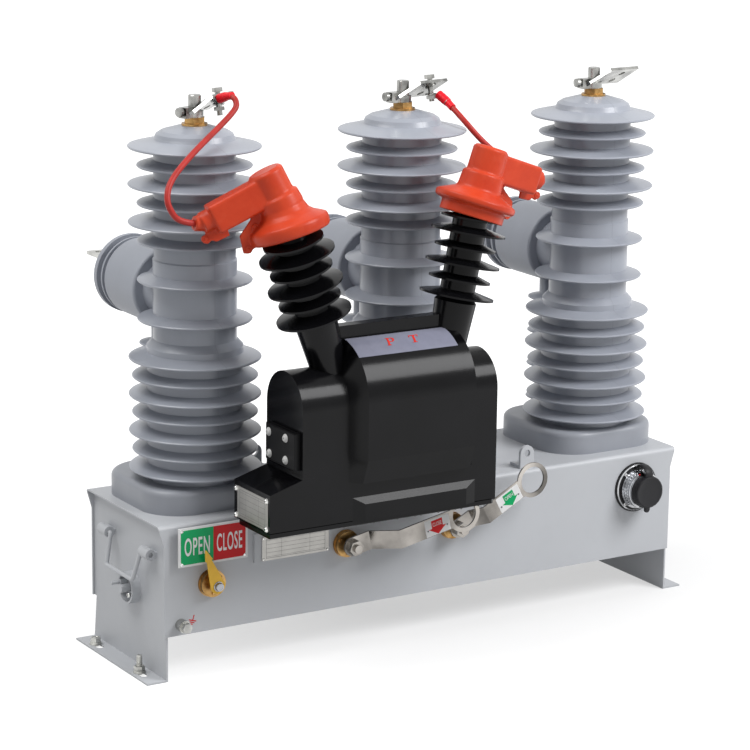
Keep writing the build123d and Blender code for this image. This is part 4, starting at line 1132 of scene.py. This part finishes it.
class BREAKER_OT_fittings(bpy.types.Operator):
    """Make the foot bolts, the earth mark, and the small parts of the socket and the cup"""

    bl_idname = "breaker.fittings"
    bl_label = "Bolts and fittings"

    def execute(self, context):
        self.foot_bolts()
        self.earth_mark()
        self.socket()
        self.socket_cover()
        self.cup()
        return {"FINISHED"}

    def foot_bolts(self):
        """Nuts on washers, with the two front studs standing out of theirs."""
        size = sizes().bolt
        bm = bmesh.new()
        for number, (x, y) in enumerate(FOOT_SLOTS):
            base = Matrix.Translation((x, y + BOLT_BACK, FOOT_TOP)) @ Matrix.Rotation(number * 0.7, 4, "Z")
            nut = base @ Matrix.Translation((0, 0, WASHER))
            disc(bm, size * 1.05, WASHER, base)
            turned(bm, ((size / 2, -FOOT_TOP), (size / 2, 0.0005)), base)
            disc(bm, size * 0.98, 0.0022, nut, 0.6)
            hex_head(bm, size * 1.6, size * 0.85, nut @ Matrix.Translation((0, 0, 0.0008)))
            if y < 0:
                stud(bm, size / 2, 0.0240, 0.0015, nut)
        shape_piece("foot_bolts", bm, steel_finish("foot_bolt_steel"))

    def earth_mark(self):
        """Earth sign: a stem on three bars, each shorter than the last."""
        place = front(*EARTH_MARK, math.radians(EARTH_TURN))
        bm = bmesh.new()
        for left, right, low, high in EARTH_BARS:
            board(bm, [(right, low), (right, high), (left, high), (left, low)], 0.00025, place)
        shape_piece("earth_mark", bm, paint_finish("mark_red", MARK_RED, 0.35))

    def socket(self):
        """Gasket, flange screws, knurled ring and red dot of the control socket."""
        x, z = SOCKET
        bm = bmesh.new()
        hoop(bm, 0.0300, 0.0385, 0.0026, front(x, FRONT_FACE, z))
        hoop(bm, 0.0316, 0.0349, 0.0008, front(x, FRONT_FACE - 0.0046, z))
        gasket = rubber_finish("gasket_rubber", (0.008, 0.008, 0.009), 0.5)
        shape_piece("socket_gasket", bm, gasket)
        bm = bmesh.new()
        for i in range(4):
            angle = math.radians(45 + 90 * i)
            screw(bm, 0.0030, 0.0030, front(x + SOCKET_SCREWS * math.cos(angle), FRONT_FACE - 0.0050,
                                            z + SOCKET_SCREWS * math.sin(angle), i))
        shape_piece("socket_screws", bm, steel_finish("socket_screw_steel"))
        bm = bmesh.new()
        loft(bm, [ring(lambda angle: radius + wave * math.cos(angle * KNURL_RIDGES), depth, KNURL_RIDGES * 4)
                  for depth, radius, wave in KNURL], front(x, FRONT_FACE - 0.0100, z))
        shape_piece("socket_knurl", bm, steel_finish("knurl_chrome"))
        bm = bmesh.new()
        away = math.radians(SOCKET_DOT[1])
        out = Vector((math.cos(away), 0, math.sin(away)))
        disc(bm, 0.0017, 0.0008, seat(Vector((x, -0.1372, z)) + out * SOCKET_DOT[0], out))
        shape_piece("socket_dot", bm, paint_finish("dot_red", MARK_RED))

    def socket_cover(self):
        """Black rubber cap with its tab and the strap that bends over to the flange."""
        x, z = SOCKET
        bm = bmesh.new()
        turned(bm, SOCKET_CAP, front(x, -0.1400, z), 48)
        board(bm, SOCKET_TAB, 0.0046, front(x - 0.0010, -0.1446, z - 0.0240))
        rings = []
        for i, (y, rise) in enumerate(SOCKET_STRAP):
            before = SOCKET_STRAP[max(0, i - 1)]
            after = SOCKET_STRAP[min(len(SOCKET_STRAP) - 1, i + 1)]
            way = Vector((0, after[0] - before[0], after[1] - before[1])).normalized()
            out = Vector((0, way.z, -way.y))
            half = 0.0056 + 0.0012 * abs(i - 5) / 5
            flat = half - 0.0010
            section = ((-half, -0.0012), (-half, 0.0008), (-flat, 0.0016), (flat, 0.0016),
                       (half, 0.0008), (half, -0.0012), (flat, -0.0018), (-flat, -0.0018))
            rings.append([Vector((x + across, y, z + rise)) + out * lift for across, lift in section])
        loft(bm, rings, HERE)
        black = rubber_finish("cover_rubber", tuple(colours().rubber), 0.38)
        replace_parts(shape_piece("socket_cover", bm, black), "socket_cap")

    def cup(self):
        """Screws in the cup under the bail, and the pin that sticks out of it."""
        bm = bmesh.new()
        for number, (y, z) in enumerate(CUP_SCREWS):
            turned(bm, ((0.0022, -0.0110), (0.0022, 0)), left_end(CUP_SCREW_X, y, z))
            screw(bm, 0.0042, 0.0026, left_end(CUP_SCREW_X, y, z, number))
        shape_piece("boss_screws", bm, steel_finish("boss_screw_steel"))
        bm = bmesh.new()
        turned(bm, ((0.0026, 0), (0.0026, 0.0235), (0.0021, 0.0245)), left_end(*CUP_PIN))
        turned(bm, ((0.0040, 0), (0.0040, 0.0105), (0.0034, 0.0110)), left_end(*CUP_PIN))
        shape_piece("boss_pin", bm, housing_finish("pin_paint"))


class BREAKER_OT_stage(bpy.types.Operator):
    """Lay the pale floor and hang the studio lamps"""

    bl_idname = "breaker.stage"
    bl_label = "Floor and lamps"

    def execute(self, context):
        scene = context.scene
        scene.view_settings.view_transform = "Standard"
        self.world(scene)
        self.floor(scene)
        for lamp in LAMPS:
            self.lamp(*lamp)
        return {"FINISHED"}

    def seen(self, nodes):
        """1 for rays that show the background: camera, glossy and transmission rays."""
        rays = [nodes.node("ShaderNodeLightPath", output=name)
                for name in ("Is Camera Ray", "Is Glossy Ray", "Is Transmission Ray")]
        return nodes.node("ShaderNodeClamp", None, {"Value": rays[0] + rays[1] + rays[2]})

    def world(self, scene):
        world = bpy.data.worlds.new("studio")
        scene.world = world
        world.use_nodes = True
        nodes = Nodes(world.node_tree)
        background = next(n for n in world.node_tree.nodes if n.type == "BACKGROUND")
        background.inputs["Color"].default_value = (1.0, 1.0, 1.0, 1.0)
        nodes.feed(background.inputs["Strength"], EVEN_LIGHT + self.seen(nodes) * (1.0 - EVEN_LIGHT))

    def floor(self, scene):
        """Grey floor that glows to white away from the object's shadow, where the background shows."""
        reach = sizes().floor / 2
        mesh = bpy.data.meshes.new("floor")
        mesh.from_pydata([(-reach, -reach, 0), (reach, -reach, 0), (reach, reach, 0), (-reach, reach, 0)],
                         [], [(0, 1, 2, 3)])
        floor = bpy.data.objects.new("floor", mesh)
        scene.collection.objects.link(floor)
        paper = Finish("floor_paper", FLOOR_GREY, Roughness=0.9, Specular_IOR_Level=0.0)
        away = paper.vector("LENGTH", paper.vector("SUBTRACT", paper.place(), GLOW_MIDDLE), output="Value")
        bright = paper.node("ShaderNodeBsdfPrincipled", None,
                            {"Base Color": (*FLOOR_GREY, 1.0), "Roughness": 0.9, "Specular IOR Level": 0.0,
                             "Emission Color": paper.ramp(away / GLOW_REACH, *GLOW_STOPS),
                             "Emission Strength": 1.0})
        plain = Wire(paper, paper.shader.outputs[0])
        both = paper.node("ShaderNodeMixShader", None, {0: self.seen(paper), 1: plain, 2: bright})
        output = next(n for n in paper.tree.nodes if n.type == "OUTPUT_MATERIAL")
        paper.feed(output.inputs["Surface"], both)
        mesh.materials.append(paper.material)

    def lamp(self, name, at, size, power, tint):
        data = bpy.data.lights.new(name, "AREA")
        data.shape = "DISK"
        data.size = size
        data.energy = power
        data.color = tint
        lamp = bpy.data.objects.new(name, data)
        bpy.context.scene.collection.objects.link(lamp)
        lamp.location = at
        lamp.rotation_euler = (Vector(LAMP_AIM) - Vector(at)).to_track_quat("-Z", "Y").to_euler()


STEPS = (BREAKER_OT_camera, BREAKER_OT_leads, BREAKER_OT_finishes, BREAKER_OT_sign, BREAKER_OT_plates,
         BREAKER_OT_transformer, BREAKER_OT_caps, BREAKER_OT_levers, BREAKER_OT_fittings, BREAKER_OT_stage)


class BREAKER_PT_panel(bpy.types.Panel):
    """Sidebar panel with the settings and one button for each step"""

    bl_idname = "BREAKER_PT_panel"
    bl_label = "Breaker"
    bl_space_type = "VIEW_3D"
    bl_region_type = "UI"
    bl_category = "Breaker"

    def draw(self, context):
        for group in (context.scene.breaker_colours, context.scene.breaker_sizes):
            box = self.layout.box()
            for name in group.bl_rna.properties.keys():
                if name not in ("rna_type", "name"):
                    box.prop(group, name)
        for step in STEPS:
            self.layout.operator(step.bl_idname)


CLASSES = (BreakerColours, BreakerSizes, *STEPS, BREAKER_PT_panel)


def register():
    for kind in CLASSES:
        bpy.utils.register_class(kind)
    bpy.types.Scene.breaker_colours = PointerProperty(type=BreakerColours)
    bpy.types.Scene.breaker_sizes = PointerProperty(type=BreakerSizes)


def unregister():
    del bpy.types.Scene.breaker_sizes
    del bpy.types.Scene.breaker_colours
    for kind in reversed(CLASSES):
        bpy.utils.unregister_class(kind)


def main():
    register()
    for step in STEPS:
        getattr(bpy.ops.breaker, step.bl_idname.split(".")[1])()


if __name__ == "__main__":
    main()
